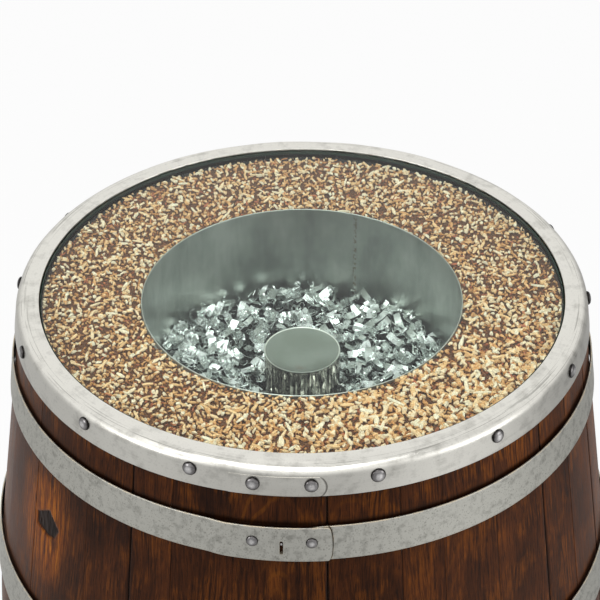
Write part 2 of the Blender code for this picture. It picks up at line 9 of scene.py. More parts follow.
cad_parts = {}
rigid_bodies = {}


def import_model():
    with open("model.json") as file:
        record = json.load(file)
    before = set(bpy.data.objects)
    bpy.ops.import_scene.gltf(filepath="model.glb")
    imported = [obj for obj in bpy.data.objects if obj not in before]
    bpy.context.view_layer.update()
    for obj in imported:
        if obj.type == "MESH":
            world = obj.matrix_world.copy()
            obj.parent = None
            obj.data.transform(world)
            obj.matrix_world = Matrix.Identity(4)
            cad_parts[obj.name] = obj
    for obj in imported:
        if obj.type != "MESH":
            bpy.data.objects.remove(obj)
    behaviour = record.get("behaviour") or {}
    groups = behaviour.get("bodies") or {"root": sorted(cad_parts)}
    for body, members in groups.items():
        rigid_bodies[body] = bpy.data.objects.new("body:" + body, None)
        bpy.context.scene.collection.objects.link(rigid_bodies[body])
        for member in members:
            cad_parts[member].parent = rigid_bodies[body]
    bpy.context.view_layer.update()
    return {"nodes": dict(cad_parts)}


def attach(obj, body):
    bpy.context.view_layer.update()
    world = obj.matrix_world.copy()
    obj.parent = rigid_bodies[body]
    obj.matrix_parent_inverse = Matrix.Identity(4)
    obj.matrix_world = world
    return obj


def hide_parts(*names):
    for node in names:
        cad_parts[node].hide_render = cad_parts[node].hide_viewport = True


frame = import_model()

nodes = frame["nodes"]
inScene = bpy.context.scene.collection.objects
print("frame loaded,", len(nodes), "nodes")

# helpers that every piece below uses


def linear(hexText):
    channels = [int(hexText[i:i + 2], 16) / 255 for i in (1, 3, 5)]
    return [c / 12.92 if c <= 0.04045 else ((c + 0.055) / 1.055) ** 2.4 for c in channels] + [1.0]


class Graph:
    # a node tree, with a short word for each kind of node that the patterns use
    def __init__(self, tree, material=None):
        self.tree, self.material = tree, material

    def add(self, kind, inputs=None):
        # inputs: the node's own options, then its sockets by name or number, each a value or a link
        node = self.tree.nodes.new(kind if "Node" in kind else "ShaderNode" + kind)
        for key, value in (inputs or {}).items():
            if key == "stops":
                ramp = node.color_ramp.elements
                while len(ramp) < len(value):
                    ramp.new(0.5)
                for stop, (at, colour) in zip(ramp, value):
                    stop.position, stop.color = at, linear(colour)
                continue
            if isinstance(key, str) and key in node.bl_rna.properties:
                setattr(node, key, value)
                continue
            named = (s for s in node.inputs if s.name == key and s.enabled)
            socket = node.inputs[key] if isinstance(key, int) else next(named)
            if isinstance(value, bpy.types.Node):
                value = next(s for s in value.outputs if s.enabled)
            if isinstance(value, bpy.types.NodeSocket):
                self.tree.links.new(value, socket)
            else:
                isColour = str(value).startswith("#")
                socket.default_value = linear(value) if isColour else value
        return node

    def stored(self, name, output="Fac"):
        return self.add("Attribute", {"attribute_name": name}).outputs[output]

    def place(self):
        return self.add("TexCoord").outputs["Object"]

    def split(self, vector):
        return self.add("SeparateXYZ", {"Vector": vector}).outputs

    def calc(self, operation, *values):
        return self.add("Math", {"operation": operation, **dict(enumerate(values))})

    def times(self, a, b):
        return self.calc("MULTIPLY", a, b)

    def vector(self, operation, *values):
        made = self.add("VectorMath", {"operation": operation, **dict(enumerate(values))})
        return made.outputs["Value" if operation in ("DOT_PRODUCT", "LENGTH") else "Vector"]

    def scaled(self, vector, by):
        return self.add("VectorMath", {"operation": "SCALE", 0: vector, "Scale": by}).outputs["Vector"]

    def noise(self, at, scale, detail, roughness=0.5):
        if isinstance(scale, tuple):
            at, scale = self.vector("MULTIPLY", at, scale), 1.0
        return self.add("TexNoise", {"Scale": scale, "Detail": detail, "Roughness": roughness, "Vector": at})

    def ranged(self, source, low, high, toLow=0.0, toHigh=1.0):
        return self.add("MapRange", {
            "From Min": low, "From Max": high, "To Min": toLow, "To Max": toHigh, "Value": source,
        })

    def spread(self, source, low, high, to=1.0):
        # as ranged, but with soft ends
        return self.add("MapRange", {
            "interpolation_type": "SMOOTHSTEP", "From Min": low, "From Max": high, "To Max": to, "Value": source,
        })

    def ramp(self, source, *stops):
        return self.add("ValToRGB", {"stops": stops, "Fac": source})

    def blend(self, factor, a, b, mode="MIX"):
        return self.add("Mix", {"data_type": "RGBA", "blend_type": mode, "Factor": factor, "A": a, "B": b})

    def over(self, colour, *layers):
        # each layer is a share and a colour, laid on what is below it
        for share, layer in layers:
            colour = self.blend(share, colour, layer)
        return colour

    def between(self, factor, a, b):
        return self.add("Mix", {"data_type": "FLOAT", "Factor": factor, "A": a, "B": b})

    def bump(self, height, strength, distance):
        return self.add("Bump", {"Strength": strength, "Distance": distance, "Height": height})

    def finish(self, surface):
        self.add("OutputMaterial", {"Surface": surface})
        return self.material

    def surface(self, colour, roughness, normal, more):
        return self.finish(self.add("BsdfPrincipled", {
            "Base Color": colour, "Roughness": roughness, "Normal": normal, **more,
        }))


bareMetal, bareWood = {"Metallic": 1.0}, {"IOR": 1.45}


def newMaterial(name):
    # an empty material, as the graph that its nodes are added to
    material = bpy.data.materials.new(name)
    material.use_nodes = True
    material.node_tree.nodes.clear()
    return Graph(material.node_tree, material)


def placed(name, data, at=(0, 0, 0)):
    thing = bpy.data.objects.new(name, data)
    thing.location = at
    inScene.link(thing)
    return thing


def onCircle(radius, degrees, z):
    turned = math.radians(degrees)
    return (radius * math.sin(turned), -radius * math.cos(turned), z)


def arc(r, z, radius, first, last, steps):
    # points about (r, z), from one angle above level to another
    turns = [math.radians(first + (last - first) * i / steps) for i in range(steps + 1)]
    return [(r + radius * math.cos(a), z + radius * math.sin(a)) for a in turns]


def easedCorner(r, z, radius, turns, side=1):
    # a rounded corner about (r, z), by angles in radians away from the upright, above or below
    return [(r + radius * math.sin(a), z + side * radius * math.cos(a)) for a in turns]


def smooth(x, low, high):
    t = min(1.0, max(0.0, (x - low) / (high - low)))
    return t * t * (3 - 2 * t)


def tidyMesh(mesh, smoothAngle, weld):
    bm = bmesh.new()
    bm.from_mesh(mesh)
    if weld:
        bmesh.ops.remove_doubles(bm, verts=bm.verts, dist=0.00001)
    bmesh.ops.recalc_face_normals(bm, faces=bm.faces)
    bm.to_mesh(mesh)
    bm.free()
    mesh.shade_smooth()
    mesh.set_sharp_from_angle(angle=math.radians(smoothAngle))


def loft(name, sections, around=False, values=None, smoothAngle=35, weld=False):
    # skins a row of closed sections; around joins the last one to the first, otherwise both ends are capped
    count, size = len(sections), len(sections[0])
    faces = []
    for i in range(count if around else count - 1):
        j = (i + 1) % count
        for k in range(size):
            m = (k + 1) % size
            faces.append((i * size + k, i * size + m, j * size + m, j * size + k))
    if not around:
        faces.append(tuple(range(size)))
        faces.append(tuple(reversed(range((count - 1) * size, count * size))))
    mesh = bpy.data.meshes.new(name)
    mesh.from_pydata([p for section in sections for p in section], [], faces)
    for key, rows in (values or {}).items():
        flat = [v for row in rows for v in row]
        vector = isinstance(flat[0], tuple)
        layer = mesh.attributes.new(key, "FLOAT_VECTOR" if vector else "FLOAT", "POINT")
        if vector:
            flat = [c for v in flat for c in v]
        layer.data.foreach_set("vector" if vector else "value", flat)
    tidyMesh(mesh, smoothAngle, weld)
    return mesh


def turn(name, profile, steps, smoothAngle=35, wobble=None):
    # a shape turned about the upright axis from (radius, height) points
    sections = []
    for step in range(steps):
        degrees = 360 * step / steps
        shifts = [wobble(degrees, r, z) if wobble else 0.0 for r, z in profile]
        sections.append([onCircle(max(0.0, r + s), degrees, z) for (r, z), s in zip(profile, shifts)])
    return loft(name, sections, around=True, smoothAngle=smoothAngle, weld=True)


def addPiece(name, mesh, material, body, replaced=()):
    mesh.name = name
    if material:
        mesh.materials.append(material)
    piece = placed(name, mesh)
    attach(piece, body)
    if replaced:
        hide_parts(*replaced)
    return piece


def newTree(name, sockets):
    # a geometry tree with inputs named under their kinds, and the outputs that give their values
    tree = bpy.data.node_groups.new(name, "GeometryNodeTree")
    for kind, titles in {"Geometry": ["Geometry"], **sockets}.items():
        for title in titles:
            tree.interface.new_socket(name=title, in_out="INPUT", socket_type=f"NodeSocket{kind}")
    tree.interface.new_socket(name="Geometry", in_out="OUTPUT", socket_type="NodeSocketGeometry")
    graph = Graph(tree)
    return graph, graph.add("NodeGroupInput").outputs


def applied(holder):
    # the plain mesh that an object's modifiers make
    graph = bpy.context.evaluated_depsgraph_get()
    made = bpy.data.meshes.new_from_object(
        holder.evaluated_get(graph), preserve_all_data_layers=True, depsgraph=graph
    )
    bpy.data.objects.remove(holder)
    return made


def grow(name, mesh, tree, values):
    # runs a tree on a mesh, with its inputs set by name
    holder = placed(name, mesh)
    modifier = holder.modifiers.new(name, "NODES")
    modifier.node_group = tree
    for item in tree.interface.items_tree:
        if item.in_out == "INPUT" and item.name in values:
            modifier[item.identifier] = values[item.name]
    return applied(holder)


# the barrel's sizes, as in the frame

barrel = dict(
    length=0.948, bilgeRadius=0.337, endRadius=0.2818, bentHalf=0.2, wall=0.027, chamfer=0.009,
    ringTop=0.9503, ledge=0.9385, ledgeWidth=0.003, rebateRadius=0.2626, rebateFoot=0.926,
    crozes=(0.9, 0.048), crozeHalf=0.0035, crozeDepth=0.005, footBevel=0.028, footThickness=0.014,
)


def outerRadius(z):
    # bent about mid height, and straight from there to the ends
    middle = barrel["length"] / 2
    rise = abs(z - middle)
    lean = (barrel["bilgeRadius"] - barrel["endRadius"]) / (middle - barrel["bentHalf"] / 2)
    if rise > barrel["bentHalf"]:
        return barrel["endRadius"] + lean * (middle - rise)
    return barrel["bilgeRadius"] - lean * rise * rise / (2 * barrel["bentHalf"])


def innerRow(z):
    return outerRadius(z) - barrel["wall"], z, False


# the staves, each a tapered, bent oak board

staves = dict(
    rowSpacing=0.018, columns=10, knotColumns=44, arcRadius=0.31,
    edgeColumns=[0.0, 0.0004, 0.001, 0.0022, 0.0045],
    edgeDrop=0.0008, edgeFade=0.0009,  # how the edges are eased where two staves meet
    dirtWidth=(0.0003, 0.0008), openDirt=0.0005,  # a seam's dark line, wider where it stands open
    flatness=0.0005, unevenness=0.0004, ripple=0.00018, inset=0.0003, seed=21,
    rightPaler=0.55, palerFrom=(5, 35), palerTo=(110, 160),  # painted light: the wood is made paler on the right side, standing in for the sheen on that side
    knotStave=1, knotCentre=(-54.85, 0.7887), knotSink=0.0016, knotHalf=0.027, knotRow=0.0015,
    knotOutline=[(-22.1, 1.7), (0.7, 17.4), (18.9, 3.0), (11.8, -10.1), (0.7, -13.6), (-20.5, -11.9)],  # mm
    knotFade=0.9,  # mm
    flameRight=0.036, flameLeft=0.062, flameHeight=0.075, flameDrop=0.004, flameFade=(0.35, 1.25),
    flameStaves=(30, 1),  # the orange patch round the knot
    flatSawn=(5, 12, 17, 24), arched=5, archHeight=0.79,  # staves whose rings show as arches
    # seams that show as a strong dark line, by their angle from the front
    strongSeams={-32.7: 1.7, 4.3: 1.7, 50.7: 2.0, 72.6: 2.2, 37.7: 0.45, 17.8: 0.35}, seamNear=0.4,
)


def staveSpan(node):
    turns = [math.degrees(math.atan2(v.co.x, -v.co.y)) for v in node.data.vertices]
    if max(turns) - min(turns) > 180:
        turns = [t + 360 if t < 0 else t for t in turns]
    return min(turns), max(turns)


def insideOutline(x, y, outline):
    # distance from the outline's nearest side, above 0 inside
    nearest, inside = 1e9, False
    for (x1, y1), (x2, y2) in zip(outline, outline[1:] + outline[:1]):
        if (y1 > y) != (y2 > y) and x < (x2 - x1) * (y - y1) / (y2 - y1) + x1:
            inside = not inside
        along = ((x - x1) * (x2 - x1) + (y - y1) * (y2 - y1)) / ((x2 - x1) ** 2 + (y2 - y1) ** 2)
        along = min(1.0, max(0.0, along))
        nearest = min(nearest, math.hypot(x - x1 - along * (x2 - x1), y - y1 - along * (y2 - y1)))
    return nearest if inside else -nearest


def staveRows(hasKnot):
    # (radius, height, on the outer face) up the outside, over the rebate for the glass and down the inside
    length, rebate, ledge = barrel["length"], barrel["rebateRadius"], barrel["ledge"]
    top, count = length - barrel["chamfer"], round(length / staves["rowSpacing"])
    heights = [top * i / count for i in range(count + 1)]
    if hasKnot:
        middle, half = staves["knotCentre"][1], round(staves["knotHalf"] / staves["knotRow"])
        heights = [z for z in heights if abs(z - middle) > staves["knotHalf"]]
        heights = sorted(heights + [middle + staves["knotRow"] * i for i in range(1 - half, half)])
    rows = [(outerRadius(z), z, True) for z in heights]
    rows += [(barrel["endRadius"] - barrel["chamfer"], length, False), (rebate, length, False)]
    rows += [(rebate, ledge, False), (rebate - barrel["ledgeWidth"], ledge, False)]
    rows.append(innerRow(barrel["rebateFoot"]))
    for middle in barrel["crozes"]:
        if middle < length / 2:
            rows += [innerRow(i / 10) for i in range(8, 0, -1)]
        high, low = middle + barrel["crozeHalf"], middle - barrel["crozeHalf"]
        floor = innerRow(middle)[0] + barrel["crozeDepth"]
        rows += [innerRow(high), (floor, high, False), (floor, low, False), innerRow(low)]
    return rows + [innerRow(barrel["footBevel"]), (barrel["endRadius"] - barrel["footThickness"], 0.0, False)]


def seamOpenness(degrees):
    # most joints are tight, and some stand open a little
    strong = (share for at, share in staves["strongSeams"].items() if abs(at - degrees) < staves["seamNear"])
    return next(strong, 0.04 + 0.2 * abs(noise.noise((degrees * 0.37, 4.2, staves["seed"]))))


def staveMesh(number, start, end, chance):
    hasKnot = number == staves["knotStave"]
    width = math.radians(end - start) * staves["arcRadius"]
    inner = staves["knotColumns" if hasKnot else "columns"]
    edges = staves["edgeColumns"]
    at = edges + [edges[-1] + (width - 2 * edges[-1]) * i / inner for i in range(1, inner)]
    at += [width - e for e in reversed(edges)]
    rows = staveRows(hasKnot)
    flat = staves["flatness"] * chance.uniform(0.4, 1.4)
    sunk = staves["unevenness"] * chance.random()
    seed = chance.uniform(0, 90)
    middle = (start + end) / 2
    openness = seamOpenness(start), seamOpenness(end)
    stored = ("woodPlace", "seamDirt", "knot", "flameShare", "stainTone")
    sections, values = [], {name: [] for name in stored}
    for x in at:
        degrees = start + (end - start) * x / width
        near = min(x, width - x)
        gap = openness[0 if x < width / 2 else 1]
        drop = gap * staves["edgeDrop"] * math.exp(-near / staves["edgeFade"])
        clean, dark = staves["dirtWidth"]
        darkLine = min(1.0, gap) * (1 - smooth(near, clean, dark + staves["openDirt"] * gap))
        # painted light: the tone rises towards the right and fades again towards the back
        paler = staves["rightPaler"] * smooth(degrees, *staves["palerFrom"])
        tone = 1 + paler * (1 - smooth(degrees, *staves["palerTo"]))
        section, columns = [], []
        for radius, z, outside in rows:
            across = math.radians(degrees - middle) * outerRadius(z)
            inKnot = inFlame = 0.0
            if outside:
                share = 2 * x / width - 1
                ripple = noise.noise((degrees * 0.11, z * 9, seed)) * staves["ripple"]
                radius -= staves["inset"] + sunk + flat * (1 - share * share) + drop + abs(ripple)
                if number in staves["flameStaves"]:
                    kx = math.radians((degrees + 180) % 360 - 180 - staves["knotCentre"][0]) * outerRadius(z)
                    ky = z - staves["knotCentre"][1]
                    reach = staves["flameRight" if kx > 0 else "flameLeft"]
                    far = math.hypot(kx / reach, (ky + staves["flameDrop"]) / staves["flameHeight"])
                    inFlame = 1 - smooth(far, *staves["flameFade"])
                if hasKnot:
                    within, fade = insideOutline(kx * 1000, ky * 1000, staves["knotOutline"]), staves["knotFade"]
                    inKnot = smooth(within, -fade, fade)
                    radius -= staves["knotSink"] * inKnot * (0.75 + 0.5 * noise.noise((kx * 700, ky * 90, 3)))
            section.append(onCircle(radius, degrees, z))
            # painted shade: the inner faces above the top croze are painted nearly black, for the shadow under the
            # ring; on the outside this is the seam's dark line
            seamLineAndShade = darkLine if outside or z < barrel["crozes"][0] else 1.0
            columns.append(((across, z, seed), seamLineAndShade, inKnot, inFlame, tone))
        sections.append(section)
        for name, column in zip(stored, zip(*columns)):
            values[name].append(column)
    return loft(f"oakStave{number:02d}", sections, values=values)


def stainedOak():
    # oak, planed, dark stained and lacquered: dark pore lines along the grain, orange early wood where the
    # stain took thinly, and a clear coat that goes pale at grazing angles
    look = newMaterial("stainedLacqueredOak")
    place = look.stored("woodPlace", "Vector")
    warp = look.noise(place, (30, 8, 4.1), 2, 0.55)
    bent = look.vector("ADD", place, look.scaled(warp.outputs["Color"], 0.012))
    streaks = look.noise(bent, (430, 19, 1.0), 5, 0.62)  # bands 1.5 to 4 mm wide
    fibres = look.noise(bent, (1100, 60, 1.7), 3, 0.6)  # pores of about 1 mm, coarser than oak's 0.3 mm
    stain = look.noise(bent, (24, 11, 2.1), 4, 0.6)
    patches = look.noise(bent, (34, 24, 3.3), 3, 0.55)  # clouds 20 to 40 mm wide where the stain took thinly

    across, along, _ = look.split(place)
    heartAcross, heartAlong, flatSawn = look.split(look.stored("woodKind", "Vector"))
    reach = look.add("CombineXYZ", {
        "X": look.calc("SUBTRACT", across, heartAcross),
        "Y": look.times(look.calc("SUBTRACT", along, heartAlong), 0.3),
    })
    warped = look.calc("MULTIPLY_ADD", warp, 0.012, look.vector("LENGTH", reach))
    rings = look.calc("SINE", look.times(warped, 2 * math.pi / 0.0062))  # growth rings 6.2 mm apart
    ringLines = look.times(look.spread(rings, 0.35, 1.0), flatSawn)

    mixed = look.between(0.5, streaks, stain)
    wood = look.ramp(mixed, (0.34, "#210f06"), (0.44, "#351a09"), (0.54, "#47240d"), (0.66, "#5e3212"))
    thin = look.times(look.spread(patches, 0.48, 0.64, 0.45), look.spread(streaks, 0.38, 0.62))
    fire = look.ramp(streaks, (0.36, "#4a200b"), (0.5, "#854512"), (0.62, "#ad6517"), (0.75, "#c47f26"))
    underRing = look.times(look.spread(along, 0.896, 0.921), look.spread(streaks, 0.44, 0.56))
    wood = look.over(
        wood, (thin, "#7a4310"),
        (look.times(ringLines, look.spread(stain, 0.42, 0.62, 0.45)), "#74420f"),
        (look.times(look.stored("flameShare"), look.spread(patches, 0.25, 0.5)), fire),
        (look.times(underRing, look.spread(patches, 0.42, 0.58, 0.6)), "#7a430d"),
        (look.spread(fibres, 0.48, 0.36, 0.7), "#180b06"),
    )
    # painted light: paler wood on the right side
    wood = look.scaled(wood, look.stored("stainTone"))
    for hoopTop in (0.8895, 0.6843):  # painted shadow: a dark band on the wood just above each hoop, for the hoop's contact shadow
        behindHoop = look.spread(along, hoopTop - 0.02, hoopTop - 0.01)
        hoopShadow = look.spread(along, hoopTop + 0.006, hoopTop, 0.85)
        wood = look.blend(look.times(behindHoop, hoopShadow), wood, "#100704")
    char = look.ramp(fibres, (0.4, "#0d0907"), (0.62, "#2c1d16"))
    # the seams' dark lines, and painted shade on the inner faces under the ring
    wood = look.over(wood, (look.stored("knot"), char), (look.stored("seamDirt"), "#0f0704"))
    bump = look.bump(look.calc("MULTIPLY_ADD", fibres, 0.6, streaks), 0.3, 0.0006)
    return look.surface(wood, look.ranged(streaks, 0.3, 0.7, 0.28, 0.42), bump, {
        "IOR": 1.5, "Specular IOR Level": 0.05,
        "Sheen Weight": 0.18, "Sheen Roughness": 0.25, "Sheen Tint": "#e0ac92",
        "Coat Weight": 0.12, "Coat Roughness": 0.3, "Coat IOR": 1.5, "Coat Tint": "#fff2ea",
    })


oak = stainedOak()
chance = random.Random(staves["seed"])
for number in range(1, 31):
    node = nodes[f"stave_{number:02d}"]
    mesh = staveMesh(number, *staveSpan(node), chance)
    flatSawn = 1.0 if number in staves["flatSawn"] else (0.35 if chance.random() > 0.7 else 0.0)
    isArched = number == staves["arched"]
    heart = chance.uniform(-0.01, 0.01), staves["archHeight"] if isArched else chance.uniform(0.2, 0.8)
    kind = mesh.attributes.new("woodKind", "FLOAT_VECTOR", "POINT")
    kind.data.foreach_set("vector", (*heart, flatSawn) * len(mesh.vertices))
    addPiece(f"oakStave{number:02d}", mesh, oak, "barrel", [node.name])
print("30 staves")

# the top ring: the chime hoop, hammered over the stave ends

ring = dict(
    innerRadius=0.2621, topRadius=0.2852, topHeight=0.9438, bottomRadius=0.2884, bottom=0.9215, thickness=0.002,
    cornerRadius=0.0085, cornerSpread=0.0015, sag=0.0006, lapSag=0.0016, steps=400, seed=5,
    bulges=((-3, 8.0), (26, 9.0)), bulge=0.0012,  # degrees and width where the corner is rounder, and how much
    lapStart=-13.5, lapRamp=4.5, lapEnd=4.4, lapBulge=1.0,  # degrees
    lapRise=0.001, lapBelowTop=0.009, lapTip=0.972, lapSunk=0.0006,
)


def hammered(degrees, rate, lane):
    # an even value round the circle, so that nothing jumps where it closes
    at = math.radians(degrees)
    return noise.noise((rate * math.cos(at), rate * math.sin(at), lane + ring["seed"]))


def ringBand(z):
    share = (z - ring["bottom"]) / (ring["topHeight"] - ring["bottom"])
    return ring["bottomRadius"] + (ring["topRadius"] - ring["bottomRadius"]) * share


def ringSection(degrees):
    top, thick, bottom, inner = barrel["ringTop"], ring["thickness"], ring["bottom"], ring["innerRadius"]
    rounder = [math.exp(-((degrees - at) / wide) ** 2) * ring["bulge"] for at, wide in ring["bulges"]]
    corner = ring["cornerRadius"] + ring["cornerSpread"] * hammered(degrees, 4.5, 1.7) + sum(rounder)
    sag = ring["sag"] * (1 + hammered(degrees, 6, 4.2)) + ring["lapSag"] * math.exp(-((degrees + 1) / 11) ** 2)
    section = [(inner, top - thick), (inner, top - 0.0004)]
    flatEnd = ringBand(top - corner) - corner
    for share in (0.02, 0.15, 0.35, 0.6, 0.8):
        dip = sag * share * share + 0.00018 * abs(hammered(degrees, 26, 8 + share * 3))
        section.append((inner + (flatEnd - inner) * share, top - dip))
    bend = top - sag - corner  # the height where the corner meets the upright band
    section += arc(flatEnd, bend, corner, 90, 0, 8)
    for share in (0.15, 0.35, 0.6, 0.85, 0.97):
        z = bend - (bend - bottom) * share
        section.append((ringBand(z) - abs(0.00022 * hammered(degrees, 18, 12 + share * 2)), z))
    section += [(ringBand(bottom) - 0.0003, bottom), (ringBand(bottom) - thick, bottom + 0.0002)]
    return section + arc(flatEnd, bend, corner - thick, 0, 88, 4)


def stripPlace(degrees, run, radius=0.285):
    # where a point of a strip lies: round the barrel, and across the strip
    return (*onCircle(radius, degrees, 0)[:2], run)


def ringMesh():
    sections, place = [], []
    for step in range(ring["steps"]):
        degrees = 360 * step / ring["steps"]
        section = ringSection(degrees if degrees < 180 else degrees - 360)
        runs = [0.0]
        for (r1, z1), (r2, z2) in zip(section, section[1:]):
            runs.append(runs[-1] + math.hypot(r2 - r1, z2 - z1))
        sections.append([onCircle(r, degrees, z) for r, z in section])
        place.append([stripPlace(degrees, run) for run in runs])
    return loft("chimeRing", sections, around=True, values={"stripPlace": place}, smoothAngle=40)


def lapTongue():
    # the outer end of the ring's lap, which rises out of the band and ends in a rounded tongue
    bottom, top, start = ring["bottom"], barrel["ringTop"] - ring["lapBelowTop"], ring["lapStart"]
    heights = [bottom + (top - bottom) * i / 12 for i in range(13)]
    sections, place, darkLine = [], [], []
    columns = [0.0, 0.06, 0.12, 0.18, 0.25] + [0.25 + 0.7 * i / 20 for i in range(1, 21)]
    columns += [ring["lapTip"], 0.99, 1.0]
    for share in columns:
        face, back, row = [], [], []
        for z in heights:
            side = 2 * (z - bottom) / (top - bottom) - 1
            degrees = start + (ring["lapEnd"] - ring["lapBulge"] * side * side - start) * share
            rise = ring["lapRise"] * smooth(degrees, start, start + ring["lapRamp"])
            rise *= (1 - smooth(side, -0.1, 1.0)) * (1 - smooth(-side, 0.85, 1.0))
            rise -= 0.0004 * smooth(share, ring["lapTip"], 1.0)
            face.append(onCircle(ringBand(z) + 0.00005 + rise, degrees, z))
            back.append(onCircle(ringBand(z) - ring["lapSunk"], degrees, z))
            row.append(stripPlace(degrees, 0.05 + z - bottom))
        sections.append(face + back[::-1])
        place.append(row + row[::-1])
        # painted shadow: a dark line at the tongue's tip, for the shadow of its step
        darkLine.append([smooth(share, 0.978, 0.985)] * 2 * len(row))
    return loft("chimeRingLap", sections, values={"stripPlace": place, "tipDirt": darkLine}, smoothAngle=50)


def galvanised(name, light, dark, mark, roughness, brush, cloud, lineShare, edges=None):
    # zinc-coated strip steel: cloudy pale and dark patches where the zinc has dulled, fine specks, lines from the
    # roll; on the hoops, cream edges that are partly wear and partly a painted highlight, and painted shade past the
    # lap's tongue and on the inner face; on the ring, a painted shadow at the lap's tip
    look = newMaterial(name)
    place = look.stored("stripPlace", "Vector")
    clouds = look.noise(place, (cloud,) * 3, 5, 0.6)
    specks = look.noise(place, (620,) * 3, 2)  # specks of 1 to 2 mm
    lines = look.noise(place, (14, 14, brush), 4, 0.6)  # marks that run along the strip
    mixed = look.between(lineShare, clouds, lines)
    layers = [(look.spread(specks, 0.56, 0.7, 0.5 if edges else 0.15), mark)]
    if edges:
        edgeGap = look.stored("edgeGap")  # the way to the nearest edge, or -1 where shade is painted
        # cream edges, partly rust and wear and partly a painted highlight where the edge catches the light; then
        # painted shade
        worn = look.times(look.spread(edgeGap, 0.001, 0.0002, 0.8), look.spread(clouds, 0.4, 0.56))
        layers += [(worn, edges), (look.spread(edgeGap, -0.2, -0.7, 0.85), "#3a3226")]
    else:
        run = look.split(place)[2]
        nearBend = look.times(look.spread(run, 0.010, 0.016), look.spread(run, 0.024, 0.019))
        folds = look.spread(look.noise(place, (11, 11, 900), 3), 0.57, 0.63, 0.6)
        # painted shadow at the lap's tip, and fold marks near the bend
        paintedTipShadow = look.spread(look.stored("tipDirt"), 0, 1, 0.8)
        layers += [(look.times(nearBend, folds), mark), (paintedTipShadow, "#55524c")]
    metal = look.over(look.ramp(mixed, (0.34, dark), (0.5, light), (0.68, light)), *layers)
    rough = look.ranged(mixed, 0.3, 0.7, roughness - 0.08, roughness + 0.1)
    return look.surface(metal, rough, look.bump(look.between(0.5, specks, lines), 0.18, 0.0004), bareMetal)


# patches of 10 to 30 mm
ringSteel = galvanised("brushedGalvanisedSteel", "#e6e4dc", "#cac8c0", "#8b8982", 0.34, 420, 60, 0.22)
addPiece("chimeRing", ringMesh(), ringSteel, "barrel", ["top_chime_ring"])
addPiece("chimeRingLap", lapTongue(), ringSteel, "barrel")
print("top ring")

# the five other hoops, each lapped and riveted at the front

hoops = dict(
    thickness=0.0018, lap=19.0, tongueEnd=5.1, ramp=4.0, seat=0.0004, hiddenShare=0.86, layerGap=0.0003,
    dent=0.00012, dentRate=(0.25, 60),  # how deep the waves of the face are, and how close to the degree and the metre
    edgeRound=0.0005, tongueRound=0.0038, tipShare=0.15, underTip=0.26, stepDegrees=1.5, reachIn=0.0008,
    slotAngle=-3.8, slotWidth=0.0032, slotHeight=0.014, slotDrop=0.0032, slotDepth=0.00622, slotOut=0.00184,
    places={  # each edge's height, and how far it stands off the staves
        "top_quarter_hoop": ((0.854, 0.0004), (0.8897, 0.0008)),
        "top_bilge_hoop": ((0.636, 0.0), (0.6845, 0.001)),
        "bottom_bilge_hoop": ((0.2635, 0.001), (0.312, 0.0)),
        "bottom_quarter_hoop": ((0.0583, 0.001), (0.094, 0.0)),
        "bottom_chime_hoop": ((0.002, 0.001), (0.033, 0.0)),
    },
)


def hoopRadius(lower, upper, z):
    share = (z - lower[0]) / (upper[0] - lower[0])
    low, high = outerRadius(lower[0]) + lower[1], outerRadius(upper[0]) + upper[1]
    return low + (high - low) * share + hoops["seat"]


def rounded(back):
    # how much of its half width a tongue has at a share of its rounding back from the tip
    return math.sqrt(max(0.0, 1 - (1 - back) ** 2))


